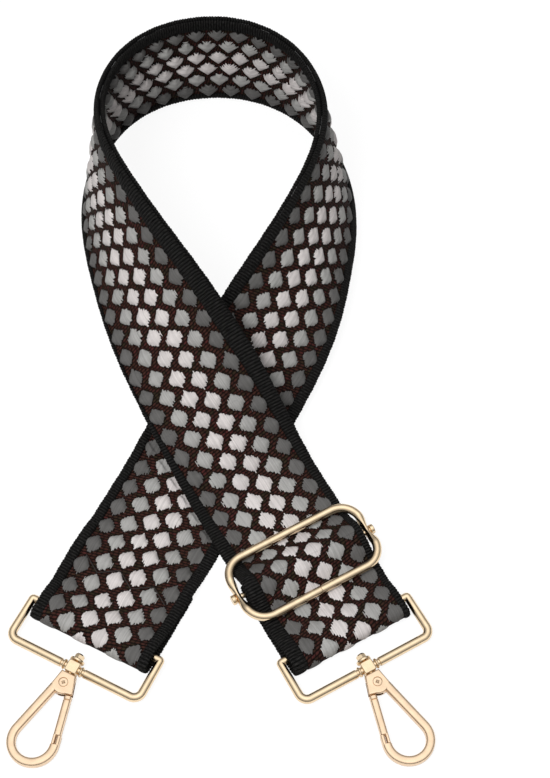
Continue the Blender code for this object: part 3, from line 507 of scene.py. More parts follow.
def skin(name, points, count, closed=False):
    """Quads over rows of count points, each row a closed outline; an open skin gets end caps."""
    first = np.arange(0, len(points), count)[:, None]
    second = np.roll(first, -1, axis=0)
    if not closed:
        first, second = first[:-1], second[:-1]
    side = np.arange(count)
    after = np.roll(side, -1)
    quads = np.stack((first + side, first + after, second + after, second + side), axis=-1)
    faces = quads.reshape(-1, 4).tolist()
    if not closed:
        faces += [side[::-1].tolist(), (side + len(points) - count).tolist()]
    mesh = bpy.data.meshes.new(name)
    mesh.from_pydata(points.tolist(), [], faces)
    return mesh


def face_outward(mesh):
    """Turns a closed mesh so that its faces point out."""
    if sum(face.area * face.center.dot(face.normal) for face in mesh.polygons) < 0:
        mesh.flip_normals()


def shell(name, rows, place, material, sharp_deg, closed=False):
    """A smooth object over rows of points, moved to its place."""
    mesh = skin(name, np.concatenate(rows), len(rows[0]), closed)
    face_outward(mesh)
    mesh.transform(place)
    return add_object(name, mesh, material, sharp_deg)


def other_side(half):
    """The mirror image of stations or of a profile, in the opposite order."""
    return [(-first, *rest) for first, *rest in reversed(half)]


def filleted(points, radius, closed=False):
    """A polyline whose corners are rounded, each within half of its own two sides."""
    points = [np.array(point, float) for point in points]
    rounded = []
    for index, corner in enumerate(points):
        if not closed and index in (0, len(points) - 1):
            rounded.append(tuple(corner))
            continue
        to_before = points[index - 1] - corner
        to_after = points[(index + 1) % len(points)] - corner
        reach = min(radius, np.linalg.norm(to_before) / 2, np.linalg.norm(to_after) / 2)
        start = corner + unit(to_before) * reach
        end = corner + unit(to_after) * reach
        for u in np.linspace(0, 1, FILLET_STEPS + 1):
            rounded.append(tuple((1 - u) ** 2 * start + 2 * u * (1 - u) * corner + u**2 * end))
    return rounded


def arc_points(centre, radius, start_deg, end_deg):
    count = max(1, math.ceil(abs(end_deg - start_deg) / ARC_STEP_DEG))
    angles = np.radians(np.linspace(start_deg, end_deg, count + 1))
    return [
        (centre[0] + radius * math.cos(angle), centre[1] + radius * math.sin(angle))
        for angle in angles
    ]


def mitres(places, closed=True):
    """Ways to the left at a polyline's points, lengthened as its corners need."""
    ahead = unit(np.roll(places, -1, axis=0) - places)
    behind = np.roll(ahead, 1, axis=0)
    if not closed:
        ahead[-1] = behind[-1]
        behind[0] = ahead[0]
    left = ahead[:, ::-1] * (-1, 1)
    mitre = unit(left + behind[:, ::-1] * (-1, 1))
    return mitre / np.sum(mitre * left, axis=1, keepdims=True)


def swept(name, stations, place, material, closed=False, squareness=2):
    """A bar along a path in XY. A station is x, y, z, left and right reach, half height."""
    ways = mitres(np.array([station[:2] for station in stations]), closed)
    angle = 2 * math.pi * (np.arange(WIRE_SIDES) + 0.5) / WIRE_SIDES
    around = np.stack((np.cos(angle), np.sin(angle)))
    sideways, upright = np.sign(around) * np.abs(around) ** (2 / squareness)
    rows = []
    for (x, y, z, left, right, half), way in zip(stations, ways):
        reach = (left - right) / 2 + sideways * (left + right) / 2
        rows.append(np.stack((x + way[0] * reach, y + way[1] * reach, z + upright * half), axis=1))
    return shell(name, rows, place, material, WIRE_SHARP_DEG, closed)


def turned(name, profile, place, material, axis="Z", sides=TURNED_SIDES, sharp_deg=SHARP_DEG):
    """A solid turned round an axis from (place, radius) pairs; a place may have one per side."""
    angle = 2 * math.pi * np.arange(sides) / sides
    rows = []
    for along, radius in profile:
        along = np.broadcast_to(along, sides)
        row = np.stack((radius * np.cos(angle), radius * np.sin(angle), along), axis=1)
        rows.append(np.roll(row, "ZXY".index(axis), axis=1))
    return shell(name, rows, place, material, sharp_deg)


def plate(name, outline, half, edge, place, material):
    """A plate in XY, centred on z = 0, whose edges are rounded on both faces."""
    places = np.array(outline)
    x, y = places.T
    area = np.dot(x, np.roll(y, -1)) - np.dot(np.roll(x, -1), y)
    inward = np.sign(area) * mitres(places)
    profile = [(edge * CAP_RIM, -half)]
    for angle in np.linspace(0, math.pi / 2, FILLET_STEPS + 1):
        profile.append((edge * (1 - math.sin(angle)), edge * (1 - math.cos(angle)) - half))
    profile += [(inset, -height) for inset, height in reversed(profile)]
    rows = []
    for inset, height in profile:
        rows.append(np.insert(places + inset * inward, 2, height, axis=1))
    return shell(name, rows, place, material, SHARP_DEG)


def combine(item, other, operation):
    """Joins or cuts with a Boolean, keeps the result and removes the other shape."""
    modifier = item.modifiers.new("combine", "BOOLEAN")
    modifier.operation = operation
    modifier.solver = "EXACT"
    modifier.object = other
    evaluated = item.evaluated_get(bpy.context.evaluated_depsgraph_get())
    mesh = bpy.data.meshes.new_from_object(evaluated)
    item.modifiers.remove(modifier)
    item.data = mesh
    bpy.data.objects.remove(other)
    mesh.shade_smooth()
    mesh.set_sharp_from_angle(angle=math.radians(SHARP_DEG))


# Webbing

def scale_height(weave, across):
    """How far the floats puff up over the ground, from 0 to 1."""
    cell = across / COLUMN_PITCH + COLUMNS / 2
    column = np.floor(cell)
    sideways = (cell - column - 0.5) * COLUMN_PITCH
    along = weave / SCALE_PITCH + column % 2 / 2
    lengthways = (along - np.floor(along) - 0.5) * SCALE_PITCH
    off_middle = np.clip(np.abs(sideways / SCALE_HALF_WIDTH), 0, 1)
    bell = np.arccos(2 * off_middle - 1) / math.pi
    point = (1 - off_middle) ** (1 / SCALE_POINT_POWER)
    reach = bell * SCALE_BELL_SHARE + point * (1 - SCALE_BELL_SHARE)
    away = np.abs(lengthways / SCALE_HALF_LENGTH) + 1 - reach
    away = np.where((column < 0) | (column >= COLUMNS), 1, np.minimum(away, 1))
    return 1 - away**SCALE_DOME_POWER


class Section:
    """The woven section's outline: face A, an edge of two cords, face B, the other edge."""

    def __init__(self):
        edge = WEBBING_WIDTH / 2
        face = np.linspace(-SELVEDGE_START, SELVEDGE_START, FACE_POINTS)
        centre = (edge + SELVEDGE_START) / 2
        reach = (edge - SELVEDGE_START) / 2
        turn = np.radians(np.linspace(CORD_START_DEG, CORD_END_DEG, CORD_POINTS))
        cord = centre + reach * np.cos(turn)
        groove = centre + reach * math.cos(turn[-1]) * SELVEDGE_GROOVE_SHARE
        flat = np.linspace(SELVEDGE_START, edge, CORD_POINTS + 2)[1:-1]
        self.across = self.round(face, cord, groove, -1)
        self.flat = self.round(face, flat, edge, -1)
        self.cord_up = self.round(0 * face, (1 + np.sin(turn)) / 2, 0, 1)
        self.is_face = self.round(0 * face + 1, 0 * turn, 0, 1) > 0
        self.side = np.concatenate(
            (np.ones(FACE_POINTS + CORD_POINTS), [0], -np.ones(FACE_POINTS + 2 * CORD_POINTS),
             [0], np.ones(CORD_POINTS))
        )
        pull = (edge - np.abs(self.across)) / (edge - SELVEDGE_START)
        self.pull = np.where(self.is_face, 1, np.clip(pull, 0, 1))

    def round(self, face, cord, groove, other_edge):
        """Values once round the section; other_edge is the sign that they get on its left edge."""
        upper = np.concatenate((face, cord, [groove], cord[::-1]))
        back = np.concatenate((face[::-1], other_edge * cord, [other_edge * groove]))
        return np.concatenate((upper, back, other_edge * cord[::-1]))


def crossing_cover(run, points):
    """1 where the lower leg lies under the upper one or an adjuster's knob, 0 well outside."""
    over, _, _ = run.between(LOOP_END, STRAP_RUN)
    apart = np.full(points.shape[:2], np.inf)
    for place in over[::COVER_STRIDE, :2]:
        apart = np.minimum(apart, np.hypot(points[..., 0] - place[0], points[..., 1] - place[1]))
    cover = ease((apart - WEBBING_WIDTH / 2) / (4 * SEAT_GAP))
    foot, out, across = run.foot["right"]
    at_limit = foot - (SLIDER_PLACE + SLIDER_TRAVEL) * out
    for way in (-1, 1):
        knob = at_limit + way * (SLIDER_ARM_SPACING / 2 + CENTRE_BAR_KNOB_LENGTH) * across
        apart = np.hypot(points[..., 0] - knob[0], points[..., 1] - knob[1])
        cover = np.maximum(cover, ease(apart / (3 * CENTRE_BAR_KNOB_RADIUS) - 1))
    return cover


def freedom(strap, kept, section, surface, facing, cover):
    """How freely the weave may puff out, from 0 where it is pressed flat to 1."""
    down = np.maximum(-facing[..., 2], SEAT_GAP)
    tallest = max(SCALE_PUFF, SELVEDGE_RISE)
    free = np.clip(surface[..., 2] / down, 0, tallest) / tallest
    distance = strap.distance[kept, None]
    on_back = section.side[None, :] < 0
    over_tail = ease((distance - TAIL_LENGTH - TAIL_RAMP) / TAIL_LENGTH)
    over_leg = ease((SLIDING_START - distance) / (2 * TAIL_LENGTH))
    free = np.where(on_back, free * (1 - np.maximum(over_tail, over_leg)), free)
    free = np.where(~on_back & (distance < 0), free * ease(-distance / RING_RAMP), free)
    free = np.where(distance > STRAP_RUN + 2 * RING_RAMP, 0, free)
    to_ring = np.minimum(distance, STRAP_RUN - distance)
    free = free * (1 - (1 - RING_CALM_SHARE) * ease(to_ring / RING_RAMP))
    below_bars = STRAP_RUN - SLIDER_PLACE - SLIDER_BAR_SPACING / 2 - SLIDING_FOLLOWS - distance
    past_bars = distance - STRAP_RUN + RING_RAMP
    pressed = ease(below_bars / TAIL_RAMP) * ease(past_bars / RING_RAMP)
    return free * (1 - (1 - PRESSED_SHARE) * pressed) * (1 - cover)


def webbing_mesh(name, strap, start, end, material, over=None):
    """One closed length of webbing with puffed scales and corded edges; over lies on it."""
    section = Section()
    first, last = strap.rows(start, end)
    kept = slice(first, last + 1)
    count = len(section.across)
    way = strap.across[kept, None, :]
    to_ring = np.minimum(np.abs(strap.distance), np.abs(STRAP_RUN - strap.distance))
    waist = 1 - 2 * RING_WAIST / WEBBING_WIDTH * ease(to_ring / (2 * RING_RAMP))
    base_across = section.across * waist[kept, None] + strap.wander[kept, None] * section.pull
    base = strap.points[kept, None, :] + base_across[..., None] * way
    facing = section.side[None, :, None] * strap.normal[kept, None, :]
    cover = crossing_cover(over, base) if over else 0
    surface = base + HALF_THICKNESS * facing
    free = freedom(strap, kept, section, surface, facing, cover)

    weave = strap.weave[kept]
    repeat_shift = np.where(section.side < 0, SCALE_PITCH / 2, 0)
    puff = scale_height(weave[:, None] + repeat_shift[None, :], section.flat[None, :])
    face_puff = SCALE_PUFF * np.where(section.side < 0, 1, FRONT_PUFF_SHARE)
    relief = puff * (face_puff * free + GROUND_DROP) - GROUND_DROP
    rib = np.abs(np.sin(math.pi * RIBS_PER_REPEAT * weave / SCALE_PITCH))
    drift = sum(np.sin(sway * weave / SCALE_PITCH) for sway in SELVEDGE_SWAYS)
    outward = (SELVEDGE_WAVE * drift / 2 - RIB_DEPTH * (1 - rib))[:, None]
    high = HALF_THICKNESS - SELVEDGE_EASE + SELVEDGE_RISE * free - RIB_DEPTH * (1 - rib[:, None])
    height = np.where(section.is_face, HALF_THICKNESS + relief, high * section.cord_up)
    sideways = np.where(section.is_face, 0, np.sign(section.across)) * outward
    points = base + sideways[..., None] * way + height[..., None] * facing

    mesh = skin(name, points.reshape(-1, 3), count)
    on_front = (section.side >= 0) & (np.roll(section.side, -1) >= 0)
    shift = np.where(on_front, 0, SCALE_PITCH / 2)
    along = np.stack((weave[:-1], weave[:-1], weave[1:], weave[1:]), axis=1)[:, None, :]
    along = along + shift[None, :, None]
    next_flat = np.roll(section.flat, -1)
    flat = np.stack((section.flat, next_flat, next_flat, section.flat), axis=1)[None]
    corners = np.stack(np.broadcast_arrays(along, flat), axis=-1).reshape(-1, 2)
    cap_corners = np.stack((np.full(2 * count, weave[0]), np.tile(section.flat, 2)), axis=1)
    corners = np.concatenate((corners, cap_corners)).astype(np.float32)
    mesh.uv_layers.new(name=WEAVE_MAP).uv.foreach_set("vector", corners.ravel())
    face_outward(mesh)
    item = add_object(name, mesh, material)
    mesh.shade_smooth()
    for face in mesh.polygons[len(mesh.polygons) - 2:]:
        face.use_smooth = False
    (last - first) * strap.step
    return item


def make_webbing(run, material):
    strap = Strap(run)
    lengths = (
        ("webbing_left", None, LEFT_LEG_END, run),
        ("webbing_loop", LEFT_LEG_END, LOOP_END, None),
        ("webbing_right", LOOP_END, SLIDING_START, None),
    )
    for name, start, end, over in lengths:
        piece = webbing_mesh(name, strap, start, end, material, over)
        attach(piece, "strap")
        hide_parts("webbing")

    foot, out, _ = run.foot["right"]
    slider_at = STRAP_RUN - SLIDER_PLACE
    upper = webbing_mesh("webbing_slider_upper", strap, SLIDING_START, slider_at, material)
    start = foot - (STRAP_RUN - SLIDING_START) * out
    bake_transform(upper)
    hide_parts("webbing_slider_span")

    lower = webbing_mesh("webbing_slider_lower", strap, slider_at, None, material)
    start = foot - (SLIDER_PLACE - SEWN_UNDER_LENGTH) * out
    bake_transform(lower)
    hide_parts("webbing_right_fold", "webbing_return", "webbing_sewn_loop")


# Materials

def operator(operation):
    return lambda value, other: value.graph.math(operation, value, other)


class Value:
    """A node's output in sums: each operator adds a Math node."""

    __add__ = operator("ADD")
    __sub__ = operator("SUBTRACT")
    __mul__ = operator("MULTIPLY")
    __mod__ = operator("MODULO")
    __pow__ = operator("POWER")
    __lt__ = operator("LESS_THAN")
    __gt__ = operator("GREATER_THAN")

    def __init__(self, graph, socket):
        self.graph = graph
        self.socket = socket

    def __rsub__(self, other):
        return self.graph.math("SUBTRACT", other, self)

    def __truediv__(self, other):
        return self * (1 / other)

    def __abs__(self):
        return self.graph.math("ABSOLUTE", self)


class Graph:
    """The nodes of a material or a world; an input takes a number, a colour or a Value."""

    def __init__(self, owner):
        self.owner = owner
        owner.use_nodes = True
        self.tree = owner.node_tree

    def put(self, value, socket):
        if isinstance(value, Value):
            self.tree.links.new(value.socket, socket)
        else:
            socket.default_value = (*value, 1) if socket.type == "RGBA" else value

    def node(self, kind, inputs=(), output=0, **settings):
        """Adds a node and gives one of its outputs; inputs are (name or number, value) pairs."""
        item = self.tree.nodes.new("ShaderNode" + kind)
        for key, setting in settings.items():
            setattr(item, key, setting)
        for key, value in inputs:
            self.put(value, item.inputs[key])
        return Value(self, item.outputs[output])

    def math(self, operation, *values):
        return self.node("Math", enumerate(values), operation=operation)

    def rise(self, value, low, high):
        """0 below low, 1 above high, smooth between."""
        inputs = (("Value", value), ("From Min", low), ("From Max", high))
        return self.node("MapRange", inputs, interpolation_type="SMOOTHSTEP")

    def vector(self, *values):
        return self.node("CombineXYZ", enumerate(values))

    def random(self, place):
        """A number from 0 to 1 that is the same all over a cell."""
        return self.node("TexWhiteNoise", [("Vector", place)], "Value")

    def noise(self, place, scale, detail=2):
        inputs = (("Vector", place), ("Scale", scale), ("Detail", detail))
        return self.node("TexNoise", inputs, "Fac")

    def mix(self, share, first, second):
        return self.node("Mix", ((0, share), (6, first), (7, second)), 2, data_type="RGBA")

    def tint(self, colour, tone):
        """The colour made darker or lighter all over by a number."""
        inputs = (("Vector", colour), ("Scale", tone))
        return self.node("VectorMath", inputs, operation="SCALE")

    def finish(self, **values):
        """Sets the surface shader's inputs and gives the material."""
        shader = self.tree.nodes["Principled BSDF"]
        for key, value in values.items():
            self.put(value, shader.inputs[key.replace("_", " ")])
        return self.owner

    def bump(self, height, distance):
        return self.node("Bump", (("Height", height), ("Distance", distance)))


def cells(place):
    """A coordinate in cells, its cell number and its place in the cell, from 0 to 1."""
    number = place.graph.math("FLOOR", place)
    return number, place - number


def dome_over(place_in_cell):
    return place_in_cell.graph.math("SINE", place_in_cell * math.pi)


def scale_part(graph, across, along):
    """Where floats cover the ground, and what colour and height they have; the colour has painted
    shade along each strand's edges.
    """
    column, in_column = cells(across / COLUMN_PITCH + COLUMNS / 2)
    sideways = (in_column - 0.5) * COLUMN_PITCH
    repeat, in_repeat = cells(along / SCALE_PITCH + column % 2 * 0.5)
    lengthways = abs((in_repeat - 0.5) * SCALE_PITCH)
    strand, in_strand = cells(sideways / FLOAT_WIDTH)
    scale_random = graph.random(graph.vector(column, repeat))
    strand_random = graph.random(graph.vector(column, repeat, strand))

    off_middle = abs((strand + 0.5) * FLOAT_WIDTH)
    share = graph.math("MAXIMUM", 1 - off_middle / SCALE_HALF_WIDTH, 0)
    bell = graph.math("ARCCOSINE", share * -2 + 1) * (SCALE_BELL_SHARE / math.pi)
    reach = bell + share ** (1 / SCALE_POINT_POWER) * (1 - SCALE_BELL_SHARE)
    reach = reach * SCALE_HALF_LENGTH + (strand_random - 0.5) * FLOAT_JITTER
    past_end = lengthways - graph.math("SNAP", reach, PICK_STEP)
    body = (share > 0) * graph.rise(past_end, PICK_STEP / 6, -PICK_STEP / 6)
    off_strand = abs(in_strand - 0.5)
    loose = (share < FLOAT_WIDTH / SCALE_HALF_WIDTH / 2) * (lengthways < LOOSE_FLOAT_HALF_LENGTH)
    loose = loose * (strand_random > (sideways > 0) * LOOSE_SIDE_SHARE + LOOSE_SHARE)
    covered = graph.math("MAXIMUM", body, loose * (off_strand < LOOSE_FLOAT_SHARE))

    off_centre = abs(across)
    shade = graph.mix(off_centre > COLUMN_PITCH, LIGHT_SCALE, MIDDLE_SCALE)
    shade = graph.mix(off_centre > 2 * COLUMN_PITCH, shade, DARK_SCALE)
    streak = graph.noise(graph.vector(along * STREAK_STRETCH, across), STREAK_DENSITY)
    tone = scale_random * SCALE_TONES + strand_random * STRAND_TONES + streak * STREAK_TONES
    # Painted shade: each strand's colour darkens towards its two edges
    tone = tone + DARKEST_TONE - graph.rise(off_strand, *STRAND_EDGE_SHADE_SHARES) * STRAND_EDGE_PAINTED_SHADE
    return covered, past_end, graph.tint(shade, tone), dome_over(in_strand)


def ground_part(graph, across, along, past_end):
    """Brown twisted yarns lying across the strap in slightly slanted ribs, drawn with painted
    shade in the hollows between ribs and yarns and along the twists.
    """
    slanted = along + across * RIB_SLANT
    rib, in_rib = cells(slanted * (RIBS_PER_REPEAT / SCALE_PITCH))
    yarn, in_yarn = cells(across / GROUND_YARN_LENGTH + graph.random(rib) * YARN_STAGGER)
    dome = dome_over(in_rib) ** RIB_ROUNDNESS
    dome = dome * (dome_over(in_yarn) * YARN_DOME_SHARE + (1 - YARN_DOME_SHARE))
    turns = in_rib * TWISTS_PER_RIB + in_yarn * TWISTS_PER_YARN
    twist = graph.math("SINE", turns * (2 * math.pi))
    # Painted light and shade: each rib and yarn is lit on its crown and shaded into the hollows
    # and along the twists
    lit = dome * (twist * TWIST_SHADE + (1 - TWIST_SHADE))
    hue = graph.random(graph.vector(rib, yarn))
    brown = graph.mix(graph.rise(hue, *OLIVE_SHARES), GROUND_BROWN, GROUND_OLIVE)
    brown = graph.mix(graph.rise(hue, *RED_SHARES), brown, GROUND_RED)
    colour = graph.mix(graph.rise(lit, *LIT_SHARES), GROUND_PAINTED_SHADE, brown)
    # Painted shadow: the ground is darkened in a band just outside each scale's end
    outline = graph.rise(past_end, PICK_STEP * 2, PICK_STEP / 3) * SCALE_RIM_PAINTED_SHADE
    return graph.mix(outline, colour, GROUND_PAINTED_SHADE), dome


def edge_part(graph, across, along):
    """Black ribbed cords with painted light on the rib crowns and painted shade between the ribs
    and at the outermost edge, with pale stitches in the groove between them.
    """
    _, in_rib = cells(along * (RIBS_PER_REPEAT / SCALE_PITCH))
    rib = dome_over(in_rib) ** EDGE_RIB_ROUNDNESS
    fibre = graph.noise(graph.vector(along * FIBRE_STRETCH, across), FIBRE_DENSITY)
    edge = WEBBING_WIDTH / 2
    # Painted light on each rib's crown, faded to painted shade between ribs and at the outermost
    # edge
    lit = rib * graph.rise(fibre, *FIBRE_SHARES) * graph.rise(across, edge, edge - 2 * FLOAT_WIDTH)
    black = graph.mix(lit, EDGE_BLACK_PAINTED_SHADE, EDGE_BLACK_PAINTED_LIGHT)
    repeat, in_repeat = cells(along / SCALE_PITCH)
    dash = (across > edge - FLOAT_WIDTH / 2) * (in_repeat < DASH_SHARE)
    dash = dash * (graph.random(repeat) > DASHES_MISSING_SHARE)
    return graph.mix(dash, black, GROOVE_DASH), rib


def webbing_material():
    graph = Graph(bpy.data.materials.new("woven_webbing"))
    weave = graph.node("UVMap", uv_map=WEAVE_MAP)
    along = graph.node("SeparateXYZ", [(0, weave)], 0)
    across = graph.node("SeparateXYZ", [(0, weave)], 1)
    covered, past_end, scale_colour, strand_dome = scale_part(graph, across, along)
    ground_colour, yarn_dome = ground_part(graph, across, along, past_end)
    off_centre = abs(across)
    edge_colour, rib = edge_part(graph, off_centre, along)
    in_face = graph.rise(off_centre, SELVEDGE_START, SELVEDGE_START - FLOAT_WIDTH / 2)
    cloth = graph.mix(covered, ground_colour, scale_colour)
    relief = in_face * covered * (strand_dome * STRAND_RELIEF + COVER_RELIEF)
    relief = relief + in_face * (1 - covered) * yarn_dome * YARN_RELIEF
    relief = relief + (1 - in_face) * rib * RIB_RELIEF
    return graph.finish(
        Base_Color=graph.mix(in_face, edge_colour, cloth),
        Roughness=covered * in_face * -SCALE_GLOSS + YARN_ROUGHNESS,
        Specular_IOR_Level=YARN_SPECULAR,
        Normal=graph.bump(relief, WEAVE_BUMP),
    )


def gold_material(name, colour, roughness):
    """Polished plating with faint drawing marks and soft variation."""
    graph = Graph(bpy.data.materials.new(name))
    place = graph.node("TexCoord", output="Object")
    cloud = graph.noise(place, CLOUD_DENSITY, CLOUD_DETAIL)
    marks = graph.noise(place, MARK_DENSITY)
    deeper = tuple(channel * DEEPER_GOLD_SHARE for channel in colour)
    return graph.finish(
        Base_Color=graph.mix(graph.rise(cloud, *CLOUD_SHARES), colour, deeper),
        Metallic=1,
        Roughness=cloud * CLOUD_ROUGHNESS + (roughness - CLOUD_EASE) + marks * MARK_ROUGHNESS,
        Normal=graph.bump(marks * MARK_RELIEF + cloud, PLATING_BUMP),
    )


def spun_material(name, density, shades, roughness, metallic=0, bump=0):
    """A finish whose colour wanders between two shades."""
    graph = Graph(bpy.data.materials.new(name))
    cloud = graph.noise(graph.node("TexCoord", output="Object"), density)
    if bump:
        graph.finish(Normal=graph.bump(cloud, bump))
    colour = graph.mix(cloud, *shades)
    return graph.finish(Base_Color=colour, Metallic=metallic, Roughness=roughness)


# Hardware

def settle(piece, body, slot, *nodes):
    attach(piece, body)
    if nodes:
        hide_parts(*nodes)


def make_ring(side, place, gold):
    """The ring with its top bar on X and its collar towards +Y."""
    half_width = RING_WIDTH / 2
    collar_end = COLLAR_BLOCK_LENGTH / 2 + COLLAR_REACH
    corner = (half_width - RING_CORNER_RADIUS, RING_DEPTH - RING_CORNER_RADIUS)
    tip = filleted([(0, 0), (half_width, 0), (half_width, RING_TIP_RADIUS * 4)], RING_TIP_RADIUS)
    half = [(x, y, RING_WIRE_RADIUS) for x, y in tip[:-1]]
    half += [(x, y, RING_BOTTOM_RADIUS) for x, y in arc_points(corner, RING_CORNER_RADIUS, 0, 90)]
    step = SEAT_GAP / 2
    half.append((collar_end + step, RING_DEPTH, RING_BOTTOM_RADIUS))
    half.append((collar_end, RING_DEPTH, RING_BOTTOM_RADIUS - step))
    half.append((collar_end - step / 2, RING_DEPTH, COLLAR_GROOVE_RADIUS - step))
    stations = [(x, y, 0, radius, radius, radius) for x, y, radius in half + other_side(half[1:])]
    ring = swept(f"{side}_ring_wire", stations, place, gold, closed=True)
    settle(ring, f"{side}_ring", "gold_wire", f"{side}_ring")

    profile = [(0, COLLAR_GROOVE_RADIUS)]
    middle = COLLAR_BLOCK_LENGTH / 2 + COLLAR_REACH / 2
    high = COLLAR_BEAD_RADIUS - COLLAR_GROOVE_RADIUS
    for angle in np.radians(np.linspace(180, 0, COLLAR_BEAD_STEPS + 1)):
        along = middle + COLLAR_BEAD_LENGTH / 2 * math.cos(angle)
        profile.append((along, COLLAR_GROOVE_RADIUS + high * math.sin(angle)))
    profile.append((collar_end, COLLAR_GROOVE_RADIUS))
    profile = other_side(profile[1:]) + profile
    at_bar = place @ Matrix.Translation((0, RING_DEPTH, 0))
    beads = turned(f"{side}_collar_beads", profile, at_bar, gold, axis="X")
    settle(beads, f"{side}_ring", "gold_wire")

    half_block, reach = COLLAR_BLOCK_LENGTH / 2, COLLAR_BLOCK_RADIUS
    corners = [(x * half_block, y * reach) for x, y in ((1, 1), (-1, 1), (-1, -1), (1, -1))]
    outline = filleted(corners, 2 * COLLAR_BLOCK_EDGE, closed=True)
    block = plate(f"{side}_collar_block", outline, reach, COLLAR_BLOCK_EDGE, at_bar, gold)
    settle(block, f"{side}_ring", "gold_wire")


def make_post(side, place, gold):
    """The swivel post: a faceted, dimpled head over a round flange."""
    seat = -HOOK_TOP
    flange = seat - POST_FLANGE_LENGTH
    head = flange - POST_HEAD_LENGTH
    profile = [
        (flange, POST_RADIUS),
        (flange, POST_FLANGE_RADIUS),
        (seat, POST_FLANGE_RADIUS),
        (seat, POST_RADIUS),
        (HOOK_TOP + POST_RADIUS, POST_RADIUS),
    ]
    post = turned(f"{side}_swivel_flange", filleted(profile, SEAT_GAP), place, gold, axis="Y")
    settle(post, f"{side}_hook", "gold_turned", f"{side}_swivel_post")
    inner = POST_HEAD_RADIUS - POST_HEAD_CHAMFER
    facets = [
        (head + POST_HEAD_DIMPLE, inner / 4),
        (head, inner * 3 / 4),
        (head, inner),
        (head + POST_HEAD_CHAMFER, POST_HEAD_RADIUS),
        (flange - SEAT_GAP, POST_HEAD_RADIUS),
        (flange + SEAT_GAP, POST_HEAD_RADIUS + SEAT_GAP),
    ]
    name = f"{side}_swivel_head"
    dome = turned(name, facets, place, gold, "Y", POST_HEAD_SIDES, FACET_SHARP_DEG)
    settle(dome, f"{side}_hook", "gold_turned")


def bearing_deg(way):
    return math.degrees(math.atan2(way[1], way[0]))


class HookShape:
    """Places in the hook's frame. +Y runs away from the ring, +X is the gate's side."""

    def __init__(self):
        outer = HOOK_WIDTH / 2
        self.mid_radius = outer - HOOK_BAR_WIDTH / 2
        self.centre = np.array((HOOK_OFFSET, HOOK_LENGTH - outer))
        self.start = np.array((HOOK_BAR_WIDTH / 2 - PLATE_TOP_WIDTH / 2, HOOK_TOP + PLATE_CHAMFER))
        away = self.centre - self.start
        turn = math.asin(self.mid_radius / np.linalg.norm(away))
        self.leg_deg = bearing_deg(away) + math.degrees(turn)
        lean = math.radians(GATE_ANGLE_DEG)
        self.down = np.array((math.sin(lean), math.cos(lean)))
        self.side = np.array((math.cos(lean), -math.sin(lean)))
        self.pin = np.array((0, PIN_PLACE))
        self.lap_end = self.centre + self.mid_radius * self.side
        self.lap_start = self.lap_end - GATE_LAP * self.down
        self.gate_offset = np.dot(self.lap_end - self.pin, self.side)
        self.gate_inner = self.gate_offset - GATE_WIDTH / 2
        clear = PLATE_FOOT_RADIUS + SEAT_GAP
        self.gate_top = math.sqrt(clear**2 - self.gate_inner**2)

    def on_gate(self, offset, place):
        """A point at an offset sideways and a place down the gate, both from the pin."""
        return self.pin + offset * self.side + place * self.down

    def bar_path(self):
        """Bar centre line down the outer side, round the bottom and up to the gate's lap."""
        turn = arc_points(self.centre, self.mid_radius, self.leg_deg + 90, -GATE_ANGLE_DEG)
        return [self.start] + turn

    def plate_outline(self):
        half_top = PLATE_TOP_WIDTH / 2
        corner = self.on_gate(self.gate_offset + GATE_WIDTH / 2, self.gate_top - SEAT_GAP)
        foot_reach = math.sqrt(PLATE_FOOT_RADIUS**2 - self.gate_inner**2)
        meet = self.on_gate(self.gate_inner, foot_reach)
        leg = math.radians(self.leg_deg)
        outer_way = np.array((math.cos(leg), math.sin(leg)))
        outer_top = np.array((-half_top, HOOK_TOP))
        reach = np.dot(self.pin - outer_top, outer_way) + PLATE_FOOT_RADIUS / 2
        outer_foot = outer_top + reach * outer_way
        outer_foot = outer_foot + GATE_SLOT_OUTER / 2 * np.array((math.sin(leg), -math.cos(leg)))
        start, end = bearing_deg(meet - self.pin), bearing_deg(outer_foot - self.pin)
        foot = arc_points(self.pin, PLATE_FOOT_RADIUS, start, end)
        return [(half_top, HOOK_TOP), tuple(corner), *foot, (-half_top, HOOK_TOP)]


def mirrored(points, gate_way):
    return [(gate_way * x, y) for x, y in points]


def hook_bar(name, sections, gate_way, place, gold):
    """A flattened bar from (x, y, left reach, right reach, half height), for either side."""
    stations = []
    for x, y, left, right, half in sections:
        sides = (left, right) if gate_way > 0 else (right, left)
        stations.append((gate_way * x, y, 0, *sides, half))
    return swept(name, stations, place, gold, squareness=HOOK_SQUARENESS)


